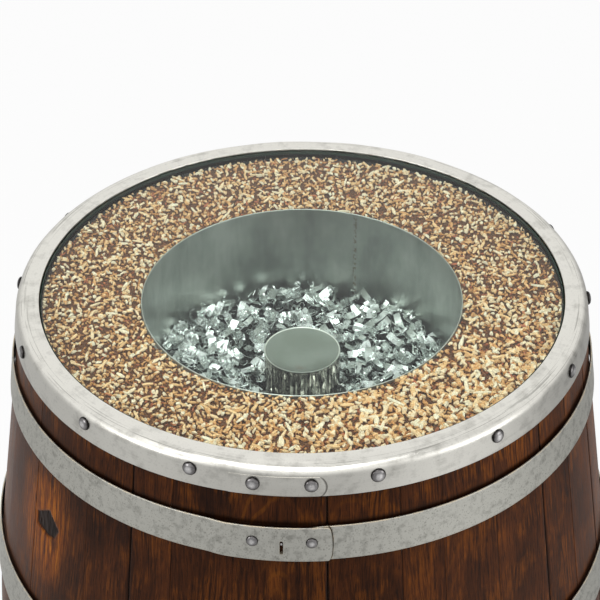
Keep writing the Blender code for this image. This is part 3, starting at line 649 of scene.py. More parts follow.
def hoopMesh(name, lower, upper, lane):
    low, high = lower[0], upper[0]
    width, thick, soft, tipShare = high - low, hoops["thickness"], hoops["edgeRound"], hoops["tipShare"]
    outline = [(0.0, soft), (0.0, thick - soft), (soft * 0.3, thick - soft * 0.3), (soft, thick)]
    outline += [(width * s, thick) for s in (0.05, 0.12, 0.25, 0.42, 0.58, 0.75, 0.88, 0.95)]
    outline += [(width - s, d) for s, d in reversed(outline[:4])]
    sunk, narrow, (perDegree, perMetre) = -hoops["reachIn"], hoops["hiddenShare"], hoops["dentRate"]
    inside = [(width - soft, 0.0), (width - 0.003, sunk), (width * 0.5, sunk), (soft, 0.0)]
    outline += inside
    first, tongueEnd, run = hoops["tongueEnd"] - hoops["lap"], hoops["tongueEnd"], 360 + hoops["lap"]
    middle, tip = (low + high) / 2, first + run
    degreeLength = math.radians(1) * hoopRadius(lower, upper, middle)
    roundDegrees = hoops["tongueRound"] / degreeLength
    turns = [first + hoops["stepDegrees"] * i for i in range(int(run / hoops["stepDegrees"]))]
    turns = [t for t in turns if t < tip - 1.1 * roundDegrees and not 3.9 < t < 5.7]
    turns = sorted(turns + [4.0 + 0.1 * i for i in range(17)])  # close steps under the tongue's end
    turns += [tip - roundDegrees * s for s in (1.0, 0.7, 0.45, 0.25, 0.12, 0.04, 0.0)]
    sections, place, gap = [], [], []
    for degrees in turns:
        lifted = (thick + hoops["layerGap"]) * smooth(degrees, first + 360 - hoops["ramp"], first + 360)
        back = (tip - degrees) / roundDegrees
        share = 1.0 if back >= 1 else tipShare + (1 - tipShare) * rounded(back)
        share *= narrow + (1 - narrow) * smooth(degrees, tongueEnd - 6, tongueEnd - 1)
        section, row, gapRow = [], [], []
        for s, d in outline:
            z = middle + (low + s - middle) * share
            dent = hoops["dent"] * noise.noise((degrees * perDegree, z * perMetre, lane)) if d == thick else 0.0
            depth = max(d, 0.0) if lifted else d  # only the part that lies on the staves reaches into them
            section.append(onCircle(hoopRadius(lower, upper, z) + lifted + depth + dent, degrees, z))
            row.append(stripPlace(degrees, s + d + lane, 0.3))
            outward = max(0.0, (abs(2 * s / width - 1) - tipShare) / (1 - tipShare))
            tipHere = tongueEnd - (1 - rounded(1 - outward)) * roundDegrees
            # painted shade just past the tongue's tip and on the inner face
            paintedShade = -0.05 < degrees - tipHere < hoops["underTip"] or (s, d) in inside
            gapRow.append(-1.0 if paintedShade else min(s, width - s) * share)
        sections.append(section)
        place.append(row)
        gap.append(gapRow)
    return loft(name, sections, values={"stripPlace": place, "edgeGap": gap}, smoothAngle=50)


def cutSlot(mesh, lower, upper):
    # the small slot through the lap
    middle = (lower[0] + upper[0]) / 2 - hoops["slotDrop"]
    at = onCircle(hoopRadius(lower, upper, middle) + hoops["slotOut"], hoops["slotAngle"], middle)
    bm = bmesh.new()
    bmesh.ops.create_cube(bm, size=1)
    bmesh.ops.scale(bm, vec=(hoops["slotWidth"], hoops["slotDepth"], hoops["slotHeight"]), verts=bm.verts)
    corners = [e for e in bm.edges if abs(e.verts[0].co.y - e.verts[1].co.y) > 0.001]
    bmesh.ops.bevel(bm, geom=corners, offset=hoops["slotWidth"] * 0.45, segments=4, affect="EDGES", profile=0.5)
    spin = Matrix.Rotation(math.radians(hoops["slotAngle"]), 4, "Z")
    bmesh.ops.transform(bm, matrix=Matrix.Translation(at) @ spin, verts=bm.verts)
    slotMesh = bpy.data.meshes.new("slotCutter")
    bm.to_mesh(slotMesh)
    bm.free()
    cutter, holder = placed("slotCutter", slotMesh), placed("slotHolder", mesh)
    modifier = holder.modifiers.new("slot", "BOOLEAN")
    modifier.object = cutter
    modifier.solver = "EXACT"
    made = applied(holder)
    bpy.data.objects.remove(cutter)
    return made


# patches of 4 to 12 mm
hoopSteel = galvanised("dulledGalvanisedSteel", "#cac9c1", "#aeada5", "#77756c", 0.5, 260, 120, 0.12, "#cfc2aa")
for lane, (name, (lower, upper)) in enumerate(hoops["places"].items()):
    title = name.split("_")[0] + "".join(word.capitalize() for word in name.split("_")[1:])
    mesh = hoopMesh(title, lower, upper, lane * 0.7)
    if name == "top_quarter_hoop":
        mesh = cutSlot(mesh, lower, upper)
    addPiece(title, mesh, hoopSteel, "barrel", [name])
print("hoops")

# nails round the top ring, and the rivets of every lap

studs = dict(
    nails=[13.6, 38.5, 63.7] + [63.3 + 25.27 * i for i in range(1, 9)] + [289.1, 315.3, 339.2],
    nailRadius=0.0068, nailHeight=0.0036, nailDrop=0.0126,
    ringRivetRadius=0.0064, ringRivetHeight=0.003, ringRivets=(-9.0, 1.5), ringRivetDrop=0.0167,
    hoopRivetRadius=0.0054, hoopRivetHeight=0.0024, hoopRivets=(-8.95, 1.5), hoopRivetRise=0.0024,
    hoopRivetOut=0.0002, slotPinRadius=0.0014, slotPinRise=0.0004, slotPinLean=0.1,
    slotPinOut=1.6,  # in thicknesses of the hoop
    sunk=0.0001, sides=24, seed=3,
)


def studTree():
    # a domed head at each point, turned to face along its own direction
    heads, given = newTree("studHeads", {
        "Float": ["Head Radius", "Head Height"], "Int": ["Sides", "Seed"], "Material": ["Material"],
    })
    ball = heads.add("GeometryNodeMeshUVSphere", {"Rings": 12, "Radius": 1.0, "Segments": given["Sides"]})
    x, y, z = heads.split(heads.add("GeometryNodeInputPosition"))
    dome = heads.calc("POWER", heads.calc("MAXIMUM", z, 0.0), 0.85)
    up = heads.times(dome, given["Head Height"])
    marked = heads.add("GeometryNodeStoreNamedAttribute", {
        "data_type": "FLOAT", "domain": "POINT", "Name": "domeHeight", "Geometry": ball, "Value": dome,
    })
    wanted = heads.add("CombineXYZ", {
        "X": heads.times(x, given["Head Radius"]), "Y": heads.times(y, given["Head Radius"]),
        "Z": heads.calc("MULTIPLY_ADD", heads.calc("MINIMUM", z, 0.0), 0.0008, up),
    })
    shaped = heads.add("GeometryNodeSetPosition", {"Geometry": marked, "Position": wanted})
    facing = heads.add("GeometryNodeInputNamedAttribute", {"data_type": "FLOAT_VECTOR", "Name": "facing"})
    size = heads.add("FunctionNodeRandomValue", {
        "data_type": "FLOAT", "Min": 0.95, "Max": 1.05, "Seed": given["Seed"],
    })
    put = heads.add("GeometryNodeInstanceOnPoints", {
        "Points": given["Geometry"], "Instance": shaped, "Scale": size,
        "Rotation": heads.add("FunctionNodeAlignRotationToVector", {"axis": "Z", "Vector": facing}),
    })
    real = heads.add("GeometryNodeRealizeInstances", {"Geometry": put})
    even = heads.add("GeometryNodeSetShadeSmooth", {"Geometry": real})
    done = heads.add("GeometryNodeSetMaterial", {"Geometry": even, "Material": given["Material"]})
    heads.add("NodeGroupOutput", {"Geometry": done})
    return heads.tree


def studPoints(name, places):
    # places are (degrees, radius, height, lean in radians)
    mesh = bpy.data.meshes.new(name)
    mesh.from_pydata([onCircle(r, d, z) for d, r, z, _ in places], [], [])
    facing = mesh.attributes.new("facing", "FLOAT_VECTOR", "POINT")
    leaning = [onCircle(math.cos(lean), degrees, math.sin(lean)) for degrees, _, _, lean in places]
    facing.data.foreach_set("vector", [c for direction in leaning for c in direction])
    return mesh


def studSteel():
    # steel round-head nails and rivets: painted shade with some dirt round the foot of each head, and a painted
    # highlight on the crown
    look = newMaterial("dulledRivetSteel")
    grime = look.noise(look.place(), 420.0, 3)
    up = look.stored("domeHeight")
    # painted by dome height: shade at the foot, highlight on the crown
    metal = look.ramp(up, (0.4, "#242221"), (0.62, "#7d7a7a"), (0.86, "#a3a1a1"), (0.97, "#efedec"))
    metal = look.blend(1.0, metal, look.ranged(grime, 0.35, 0.65, 0.8, 1.1), "MULTIPLY")
    return look.surface(metal, 0.24, look.bump(grime, 0.15, 0.0003), bareMetal)


def studRow(angles, radius, z, lean):
    return [(degrees, radius, z, lean) for degrees in angles]


headTree, headSteel = studTree(), studSteel()
ringLean = math.atan2(ring["bottomRadius"] - ring["topRadius"], ring["topHeight"] - ring["bottom"])
nailZ, rivetZ = barrel["ringTop"] - studs["nailDrop"], barrel["ringTop"] - studs["ringRivetDrop"]
nails = studRow(studs["nails"], ringBand(nailZ) - studs["sunk"], nailZ, ringLean)
ringRivets = studRow(studs["ringRivets"], ringBand(rivetZ) + ring["lapRise"] - studs["sunk"], rivetZ, ringLean)
hoopRivets, slotPins = [], []
for name, (lower, upper) in hoops["places"].items():
    middle = (lower[0] + upper[0]) / 2
    z = middle + studs["hoopRivetRise"]
    taper = hoopRadius(lower, upper, lower[0]) - hoopRadius(lower, upper, upper[0])
    lean = math.atan2(taper, upper[0] - lower[0])
    face = hoopRadius(lower, upper, z) + 2 * hoops["thickness"] + studs["hoopRivetOut"]
    hoopRivets += studRow(studs["hoopRivets"], face, z, lean)
    if name == "top_quarter_hoop":
        z = middle + studs["slotPinRise"]
        face = hoopRadius(lower, upper, z) + hoops["thickness"] * studs["slotPinOut"]
        slotPins = studRow([hoops["slotAngle"]], face, z, studs["slotPinLean"])
for name, places, radius, height in (
    ("slotPin", slotPins, studs["slotPinRadius"], studs["slotPinRadius"]),
    ("ringNails", nails, studs["nailRadius"], studs["nailHeight"]),
    ("ringRivets", ringRivets, studs["ringRivetRadius"], studs["ringRivetHeight"]),
    ("hoopRivets", hoopRivets, studs["hoopRivetRadius"], studs["hoopRivetHeight"]),
):
    mesh = grow(name, studPoints(name, places), headTree, {
        "Head Radius": radius, "Head Height": height,
        "Sides": studs["sides"], "Seed": studs["seed"], "Material": headSteel,
    })
    addPiece(name, mesh, None, "barrel")
print("nails and rivets")

# the glass sheet in the top

glass = dict(radius=0.2614, bottom=0.9388, thickness=0.010, arris=0.0008, innerRing=0.12, steps=192)


def floatGlass(name, tint):
    # clear float glass: only a faint reflection shows from above, and shadows pass through it
    look = newMaterial(name)
    clear = look.add("BsdfPrincipled", {
        "Base Color": tint, "IOR": 1.5, "Specular Tint": "#3a3f3c", "Roughness": 0.0, "Transmission Weight": 1.0,
    })
    passing = look.add("BsdfTransparent", {"Color": tint})
    light = look.add("LightPath")
    return look.finish(look.add("MixShader", {0: light.outputs["Is Shadow Ray"], 1: clear, 2: passing}))


def groundEdge():
    # the ground edge of a thick float sheet: dark green, painted darker still as the shade under the ring, letting no
    # light through
    look = newMaterial("groundGlassEdge")
    return look.finish(look.add("BsdfPrincipled", {"Base Color": "#122a20", "IOR": 1.5, "Roughness": 0.35}))


def glassMesh():
    bottom, top, soft = glass["bottom"], glass["bottom"] + glass["thickness"], glass["arris"]
    edge = [(glass["radius"] - soft, top), (glass["radius"], top - soft), (glass["radius"], bottom + soft),
            (glass["radius"] - soft, bottom)]
    inner = glass["innerRing"]
    profile = [(0.0, top), (inner, top)] + edge + [(inner, bottom), (0.0, bottom)]
    return turn("glassSheet", profile, glass["steps"], 20)


mesh = glassMesh()
addPiece("glassSheet", mesh, floatGlass("clearFloatGlass", "#f4faf7"), "glass", ["glass_top"])
mesh.materials.append(groundEdge())
for face in mesh.polygons:
    if abs(face.normal.z) < 0.9:
        face.material_index = 1
print("glass")

# the tub under the glass

tub = dict(
    radius=0.1617, sheet=0.0015, rim=0.9308, floor=0.8028, fillet=0.006, steps=240, weldAngle=159.0,
    dent=0.0005, dentInside=0.008,  # how far the wall waves, and how much nearer the middle the floor begins
)


def tubWobble(degrees, radius, z):
    if radius < tub["radius"] - tub["dentInside"]:
        return 0.0
    deep = math.sin(math.pi * min(1.0, max(0.0, (z - tub["floor"]) / (tub["rim"] - tub["floor"]))))
    at = math.radians(degrees)
    return -tub["dent"] * deep * (0.4 + noise.noise((1.6 * math.cos(at), 1.6 * math.sin(at), z * 9)))


def tubMesh():
    wall, outer, f = tub["radius"] - tub["sheet"], tub["radius"], tub["fillet"]
    rim, floor = tub["rim"], tub["floor"]
    inside = [(0.0, floor + tub["sheet"]), (0.08, floor + tub["sheet"])]
    inside += easedCorner(wall - f, floor + tub["sheet"] + f, f, (0, 0.52, 1.05, 1.57), -1)
    inside += [(wall, floor + 0.02 + (rim - floor - 0.021) * i / 12) for i in range(13)]
    lip = [(wall + 0.0002, rim - 0.0003), (wall + 0.0005, rim)]
    lip += [(outer - 0.0005, rim), (outer - 0.0001, rim - 0.0003)]
    outside = [(outer, rim - 0.001), (outer, floor + 0.06), (outer, floor + f)]
    outside += easedCorner(outer - f, floor + f, f, (1.05, 0.52, 0), -1)
    return turn("sheetSteelTub", inside + lip + outside + [(0.0, floor)], tub["steps"], 35, tubWobble)


def tubSteel():
    # cold-rolled sheet, rolled up and welded: cloudy grey-green, a seam with brown heat spots, a cut rim painted
    # brighter as a highlight
    look = newMaterial("coldRolledSheetSteel")
    place = look.place()
    clouds = look.noise(place, (16, 16, 9), 5, 0.6)
    rolls = look.noise(place, (300, 300, 12), 3)
    metal = look.ramp(look.between(0.07, clouds, rolls), (0.36, "#8b918b"), (0.5, "#a6aba4"), (0.64, "#c0c4bd"))
    x, y, _ = onCircle(1.0, tub["weldAngle"], 0)
    aside = look.calc("ABSOLUTE", look.vector("DOT_PRODUCT", place, (-y, x, 0)))
    ahead = look.calc("GREATER_THAN", look.vector("DOT_PRODUCT", place, (x, y, 0)), 0.1)
    seam = look.times(look.spread(aside, 0.0028, 0.0008), ahead)
    burnt = look.times(seam, look.spread(look.noise(place, 300.0, 2), 0.45, 0.62, 0.8))
    metal = look.blend(burnt, metal, "#7c6a58")
    # painted highlight along the top of the rim
    rim = look.ranged(look.split(place)[2], tub["rim"] - 0.0008, tub["rim"] - 0.0004)
    metal = look.blend(rim, metal, "#c8cbc4")
    bump = look.bump(look.calc("MULTIPLY_ADD", seam, 4.0, rolls), 0.05, 0.0005)
    return look.surface(metal, look.ranged(clouds, 0.3, 0.7, 0.3, 0.45), bump, bareMetal)


addPiece("sheetSteelTub", tubMesh(), tubSteel(), "barrel", ["tub"])
print("tub")

# the can that stands in the middle of the tub

can = dict(radius=0.039, floor=0.8046, height=0.0596, sheet=0.0008, lip=0.0006, steps=144)


def canMesh():
    low, top, r = can["floor"], can["floor"] + can["height"], can["radius"]
    inner, flat = r - can["sheet"], top - can["lip"]
    profile = [(0.0, flat), (inner * 0.6, flat), (inner - 0.0006, flat)]
    profile += [(inner, top - 0.0003), (inner + 0.0002, top), (r - 0.0002, top), (r, top - 0.0004)]
    profile += [(r, top - 0.006), (r, low + 0.03), (r, low + 0.001), (r - 0.0003, low)]
    profile += [(inner, low), (inner, flat - can["sheet"]), (0.0, flat - can["sheet"])]
    return turn("steelCan", profile, can["steps"], 30)


def canSteel():
    # tin-plated steel: the flat top is satin from wear; the drawn side has upright draw lines, painted as dark and
    # bright streaks of reflection; the rim carries a painted highlight
    look = newMaterial("drawnTinplate")
    place, top = look.place(), can["floor"] + can["height"]
    onTop = look.ranged(look.split(place)[2], top - 0.0009, top - 0.0007)
    worn = look.ramp(look.noise(place, 28.0, 4), (0.4, "#929a8f"), (0.6, "#9da49b"), (0.72, "#989286"))
    lines = look.noise(place, (420, 420, 5), 3)
    # painted reflection: the side's dark and bright streaks along the draw lines
    side = look.ramp(lines, (0.4, "#45423b"), (0.5, "#858176"), (0.6, "#d6d1c4"))
    metal = look.blend(onTop, side, worn)
    out = look.vector("LENGTH", look.vector("MULTIPLY", place, (1, 1, 0)))
    # painted highlight round the rim of the top
    paintedRimHighlight = look.ranged(out, can["radius"] - 0.0016, can["radius"] - 0.0012)
    metal = look.blend(look.times(paintedRimHighlight, onTop), metal, "#f0f3ea")
    rough = look.ranged(onTop, 0.0, 1.0, 0.1, 0.42)
    return look.surface(metal, rough, look.bump(lines, 0.08, 0.0004), bareMetal)


addPiece("steelCan", canMesh(), canSteel(), "barrel", ["centre_can"])
print("can")

# the loose fillings: wood chips round the tub and metal shavings in it


def scatterTree(name):
    # lays pieces from a collection on a surface, each with its own turn, tilt, size, depth and shade
    lay, given = newTree(name, {
        "Float": ["Density", "Smallest", "Largest", "Bigger In Front", "Tilt", "Depth"],
        "Int": ["Seed"], "Collection": ["Kinds"], "Material": ["Material"],
    })

    def drawn(kind, inputs):
        return lay.add("FunctionNodeRandomValue", {"data_type": kind, **inputs, "Seed": given["Seed"]})

    spots = lay.add("GeometryNodeDistributePointsOnFaces", {
        "distribute_method": "RANDOM", "Mesh": given["Geometry"],
        "Density": given["Density"], "Seed": given["Seed"],
    })
    lift = drawn("FLOAT", {"Max": 0.0, "Min": lay.times(given["Depth"], -1.0)})
    layered = lay.add("GeometryNodeSetPosition", {
        "Geometry": spots.outputs["Points"], "Offset": lay.add("CombineXYZ", {"Z": lift}),
    })
    tilt, back = given["Tilt"], lay.times(given["Tilt"], -1.0)
    turns = drawn("FLOAT_VECTOR", {
        "Min": lay.add("CombineXYZ", {"X": back, "Y": back}),
        "Max": lay.add("CombineXYZ", {"X": tilt, "Y": tilt, "Z": 2 * math.pi}),
    })
    size = drawn("FLOAT", {"Min": given["Smallest"], "Max": given["Largest"]})
    towards = lay.vector("DOT_PRODUCT", lay.add("GeometryNodeInputPosition"), (0.55, -0.83, 0))
    grown = lay.calc("MULTIPLY_ADD", lay.ranged(towards, 0.1, 0.24), given["Bigger In Front"], 1.0)
    kinds = lay.add("GeometryNodeCollectionInfo", {
        "Separate Children": True, "Reset Children": True, "Collection": given["Kinds"],
    })
    put = lay.add("GeometryNodeInstanceOnPoints", {
        "Pick Instance": True, "Points": layered, "Instance": kinds, "Scale": lay.times(size, grown),
        "Rotation": lay.add("FunctionNodeEulerToRotation", {"Euler": turns}),
    })
    marked = lay.add("GeometryNodeStoreNamedAttribute", {
        "data_type": "FLOAT", "domain": "INSTANCE", "Name": "pieceShade",
        "Geometry": put, "Value": drawn("FLOAT", {}),
    })
    real = lay.add("GeometryNodeRealizeInstances", {"Geometry": marked})
    done = lay.add("GeometryNodeSetMaterial", {"Geometry": real, "Material": given["Material"]})
    lay.add("NodeGroupOutput", {"Geometry": done})
    return lay.tree


def flakeMesh(name, length, width, thickness, bend, chance, sides):
    # a flat flake with an uneven outline
    outline = []
    for i in range(sides):
        a = 2 * math.pi * (i + chance.uniform(-0.3, 0.3)) / sides
        x = length / 2 * math.cos(a) * chance.uniform(0.7, 1.1)
        outline.append((x, width / 2 * math.sin(a) * chance.uniform(0.7, 1.1)))
    sections = []
    for level, shrink in ((-0.5, 0.9), (0.5, 0.8)):
        section = []
        for x, y in outline:
            z = thickness * level + bend * (x / length) ** 2 * length + chance.uniform(-0.15, 0.15) * thickness
            section.append((x * shrink, y * shrink, z))
        sections.append(section)
    return loft(name, sections, smoothAngle=20)


def sliverMesh(name, length, width, thickness, bend, chance, stations=4):
    # a split sliver along X
    sections = []
    for i in range(stations):
        s = i / (stations - 1) - 0.5
        w = width * (1 - 0.5 * abs(2 * s) ** 2) * chance.uniform(0.75, 1.1) / 2
        x, z, y = s * length, bend * s * s * length * 2, chance.uniform(-0.06, 0.06) * length * 0.3
        t = thickness / 2 * (1 - 0.4 * abs(2 * s))
        sections.append([(x, y - w, z - t), (x, y + w, z - t), (x, y + w * 0.9, z + t), (x, y - w * 0.8, z + t)])
    return loft(name, sections, smoothAngle=20)


def curlMesh(name, length, width, radius, rise, thickness, stations):
    # a strip of metal curled about Y, its ends a little apart
    sections = []
    for i in range(stations):
        s = i / (stations - 1)
        a = length / radius * (s - 0.5)
        w = width / 2 * (1 - 0.12 * abs(2 * s - 1))
        drift = rise * (s - 0.5)
        corners = ((-w, radius), (w, radius), (w, radius + thickness), (-w, radius + thickness))
        sections.append([(r * math.sin(a), dy + drift, radius - r * math.cos(a)) for dy, r in corners])
    return loft(name, sections, smoothAngle=30)


def makeKinds(name, make, count, ranges, *more):
    # pieces to choose from, their sizes drawn from the ranges; more are their other values, or functions that draw them
    kinds = bpy.data.collections.new(f"{name}Kinds")
    for i in range(count):
        sizes = [chance.uniform(*limits) for limits in ranges]
        mesh = make(f"{name}{i:02d}", *sizes, *(value() if callable(value) else value for value in more))
        kinds.objects.link(bpy.data.objects.new(mesh.name, mesh))
    return kinds


def bedMesh(name, inner, outer, heightAt, bottom, rings=26, steps=180):
    # a ring-shaped bed, its top as heightAt(degrees, radius) says
    sections = []
    for step in range(steps):
        degrees = 360 * step / steps
        radii = [inner + (outer - inner) * i / rings for i in range(rings + 1)]
        section = [onCircle(r, degrees, heightAt(degrees, r)) for r in radii]
        sections.append(section + [onCircle(outer, degrees, bottom), onCircle(inner, degrees, bottom)])
    return loft(name, sections, around=True, smoothAngle=80)


def topOnly(mesh, name):
    # the upward faces of a bed, for laying pieces on
    bm = bmesh.new()
    bm.from_mesh(mesh)
    bmesh.ops.delete(bm, geom=[f for f in bm.faces if f.normal.z < 0.3], context="FACES")
    made = bpy.data.meshes.new(name)
    bm.to_mesh(made)
    bm.free()
    return made


def addBed(name, filling, levelAt, material):
    # the bed that shows between the loose pieces, painted dark as the shade between them, and the surface that they are
    # laid on
    inner, outer, bottom = filling["inner"], filling["outer"], filling["bottom"]
    bed = bedMesh(
        f"{name}Bed", inner, outer, lambda d, r: levelAt(d, r) - filling["bedDrop"], bottom, *filling["bedSteps"])
    lay = bedMesh(f"{name}Lay", inner - filling["overlap"], outer + filling["overlap"], levelAt, bottom)
    surface = topOnly(lay, f"{name}Surface")
    addPiece(f"{name}Bed", bed, material, "barrel")
    return surface


def layPieces(name, kinds, look, replaced, filling, surface, material, slotName):
    # one piece of loose filling; what sticks out is pressed back against the walls round its bed
    mesh = grow(name, surface, layTree, {**look, "Kinds": kinds, "Material": material})
    (inner, outer), (low, high) = filling["walls"], filling["heights"]
    for v in mesh.vertices:
        r = math.hypot(v.co.x, v.co.y)
        wanted = min(outer, max(inner, r))
        v.co = (v.co.x * (wanted / r), v.co.y * (wanted / r), min(high, max(low, v.co.z)))
    addPiece(name, mesh, None, "barrel", replaced)
    for thing in list(kinds.objects):
        bpy.data.objects.remove(thing)
    bpy.data.collections.remove(kinds)
    print(name, len(mesh.polygons), "faces")


layTree = scatterTree("layLoosePieces")

# the wood chips: a dark bed with flat flakes and longer slivers on it

chips = dict(
    inner=0.1624, outer=0.2592, level=0.9304, rise=0.005, overlap=0.0012, uneven=0.002, bottom=0.9116,
    bedDrop=0.0038, bedSteps=(26, 180), seed=4, walls=(0.1621, 0.2595), heights=(0.9116, 0.9384),
    # the shortest and longest, narrowest and widest, thinnest and thickest, and the bend both ways
    flakeSizes=((0.0036, 0.007), (0.0022, 0.0038), (0.001, 0.0022), (-0.12, 0.12)), flakeCount=16,
    flakeSides=(4, 4, 5, 6),
    sliverSizes=((0.007, 0.011), (0.002, 0.0034), (0.0008, 0.0014), (-0.06, 0.06)), sliverCount=10,
    flakes={"Density": 92000, "Smallest": 0.55, "Largest": 1.25, "Bigger In Front": 0.45, "Tilt": 0.65,
            "Depth": 0.0042, "Seed": 11},
    slivers={"Density": 5500, "Smallest": 0.55, "Largest": 1.25, "Bigger In Front": 0.6, "Tilt": 0.3,
             "Depth": 0.0015, "Seed": 12},
)


def bedShare(filling, radius):
    return (radius - filling["inner"]) / (filling["outer"] - filling["inner"])


def chipLevel(degrees, radius):
    x, y, _ = onCircle(radius, degrees, 0)
    uneven = chips["uneven"] * noise.noise((x * 28, y * 28, 1.5))
    return chips["level"] + chips["rise"] * bedShare(chips, radius) + uneven


def chipsWood(name, stops):
    # oak and beech planing chips, unfinished: pale cream to tan, a few reddish or dark ones
    look = newMaterial(name)
    own = look.ramp(look.stored("pieceShade"), *stops)
    grain = look.noise(look.place(), 900.0, 2)
    tone = look.blend(1.0, own, look.ranged(grain, 0.3, 0.7, 0.72, 1.08), "MULTIPLY")
    return look.surface(tone, 0.75, look.bump(grain, 0.3, 0.0004), bareWood)


chipWood = chipsWood("rawWoodChips", [
    (0.0, "#431f0b"), (0.13, "#6b3b19"), (0.24, "#9f5c2f"), (0.32, "#c5714e"),
    (0.4, "#cc8d50"), (0.6, "#e3a96b"), (0.8, "#fdd29a"), (1.0, "#fff2d6"),
])
# painted shade: the chip bed's dark brown, for the shade deep between the chips
chipBedShade = chipsWood("woodDust", [(0.0, "#643a14"), (1.0, "#643a14")])
chance = random.Random(chips["seed"])
surface = addBed("chip", chips, chipLevel, chipBedShade)
flakeKinds = makeKinds("flake", flakeMesh, chips["flakeCount"], chips["flakeSizes"], chance,
                       lambda: chance.choice(chips["flakeSides"]))
sliverKinds = makeKinds("sliver", sliverMesh, chips["sliverCount"], chips["sliverSizes"], chance)
filling = chips, surface, chipWood, "chips_wood"
layPieces("woodFlakes", flakeKinds, chips["flakes"], ["wood_chips"], *filling)
layPieces("woodSlivers", sliverKinds, chips["slivers"], [], *filling)

# the metal shavings: a dark bed with bent plates and curls on it, heaped against the back of the tub

shavings = dict(
    inner=0.0395, outer=0.1597, bottom=0.8047, level=0.0145, heap=0.014, overlap=0.0, uneven=0.004,
    bedDrop=0.013, bedSteps=(18, 120), seed=8, walls=(0.0395, 0.1599), heights=(0.8047, 0.86),
    # the shortest and longest, narrowest and widest, tightest and widest bend, and how far the ends part
    plateSizes=((0.008, 0.015), (0.004, 0.0075), (0.009, 0.04), (-0.002, 0.002)), plateCount=12,
    plateThickness=0.0003, plateStations=6,
    curlSizes=((0.014, 0.026), (0.001, 0.0018), (0.0022, 0.0042), (0.002, 0.008)), curlCount=8,
    curlThickness=0.00025, curlStations=14,
    plates={"Density": 24000, "Smallest": 0.7, "Largest": 1.5, "Bigger In Front": 0.15, "Tilt": 0.8,
            "Depth": 0.009, "Seed": 21},
    curls={"Density": 9000, "Smallest": 0.7, "Largest": 1.4, "Bigger In Front": 0.0, "Tilt": 1.3,
           "Depth": 0.003, "Seed": 22},
)


def shavingLevel(degrees, radius):
    x, y, _ = onCircle(radius, degrees, 0)
    heap = shavings["heap"] * bedShare(shavings, radius) * abs(math.sin(math.radians(degrees) / 2))
    uneven = shavings["uneven"] * noise.noise((x * 35, y * 35, 7.5))
    return shavings["bottom"] + shavings["level"] + heap + uneven


def shavingMetal(name, bright, dark, roughness):
    # turnings of bright metal: fresh mirror-like cut faces beside duller ones
    look = newMaterial(name)
    metal = look.ramp(look.stored("pieceShade"), (0.0, dark), (0.35, bright), (1.0, "#f2f6f4"))
    bump = look.bump(look.noise(look.place(), 700.0, 2), 0.25, 0.0004)
    return look.surface(metal, roughness, bump, bareMetal)


turnings = shavingMetal("brightTurnings", "#e2e7e4", "#8c9592", 0.27)
# painted shade: the near black of the shavings' bed, for the shade deep between the pieces
fineTurnings = shavingMetal("fineTurnings", "#1d201f", "#141615", 0.5)
chance = random.Random(shavings["seed"])
surface = addBed("shaving", shavings, shavingLevel, fineTurnings)
plateKinds, curlKinds = (
    makeKinds(name, curlMesh, *(shavings[name + key] for key in ("Count", "Sizes", "Thickness", "Stations")))
    for name in ("plate", "curl"))
filling = shavings, surface, turnings, "shavings_metal"
layPieces("metalPlates", plateKinds, shavings["plates"], ["metal_shavings"], *filling)
layPieces("metalCurls", curlKinds, shavings["curls"], [], *filling)

# the bung, and the boards of both heads

bung = dict(holeRadius=0.025, taper=0.06, clearance=0.0006, proud=0.006, length=0.036, edge=0.0015, steps=64)


def bungMesh():
    def radius(height):
        return bung["holeRadius"] + height * bung["taper"] - bung["clearance"]

    out, tail, soft = bung["proud"], bung["proud"] - bung["length"], bung["edge"]
    profile = [(0.0, out - 0.0004), (0.006, out - 0.0002), (0.015, out)]
    profile += easedCorner(radius(out) - soft, out - soft, soft, (0, 0.5, 1.05, 1.57))
    profile += [(radius(0.0), 0.0), (radius(tail + soft), tail + soft), (radius(tail) - soft, tail), (0.0, tail)]
    mesh = turn("beechBung", profile, bung["steps"], 30)
    place = Matrix.Translation((0, barrel["bilgeRadius"], barrel["length"] / 2))
    mesh.transform(place @ Matrix.Rotation(-math.pi / 2, 4, "X"))
    return mesh


def plainWood(name, light, dark, ringSpacing, roughness, centre):
    # bare wood, its growth rings cut across about a centre and fine pores between them
    look = newMaterial(name)
    place = look.place()
    swirl = look.add("TexWave", {
        "wave_type": "RINGS", "rings_direction": "Y", "Scale": 0.05 / ringSpacing, "Distortion": 2.0, "Detail": 3.0,
        "Detail Scale": 6.0, "Vector": look.add("Mapping", {"Location": [-c for c in centre], "Vector": place}),
    })
    mixed = look.between(0.4, swirl, look.noise(place, 700.0, 3))
    wood = look.ramp(mixed, (0.25, dark), (0.7, light))
    return look.surface(wood, roughness, look.bump(mixed, 0.2, 0.0004), bareWood)


beech = plainWood("turnedBeech", "#c79a68", "#9a6a3e", 0.004, 0.6, (0.01, 0.337, 0.47))
addPiece("beechBung", bungMesh(), beech, "bung", ["bung"])
hidden = {  # what the CAD nodes inside the barrel are made of
    "_head_board_": plainWood("planedHeadOak", "#a98458", "#7c5833", 0.009, 0.65, (0.05, 0.0, -0.4)),
    "tub_bracket": galvanised("zincPlatedBracket", "#c3cac5", "#979f9b", "#5b605c", 0.4, 200, 90, 0.2),
}
for name, node in nodes.items():
    for part, material in hidden.items():
        if part in name:
            node.data.materials.clear()
            node.data.materials.append(material)
print("bung and heads")

# floor, lights and camera

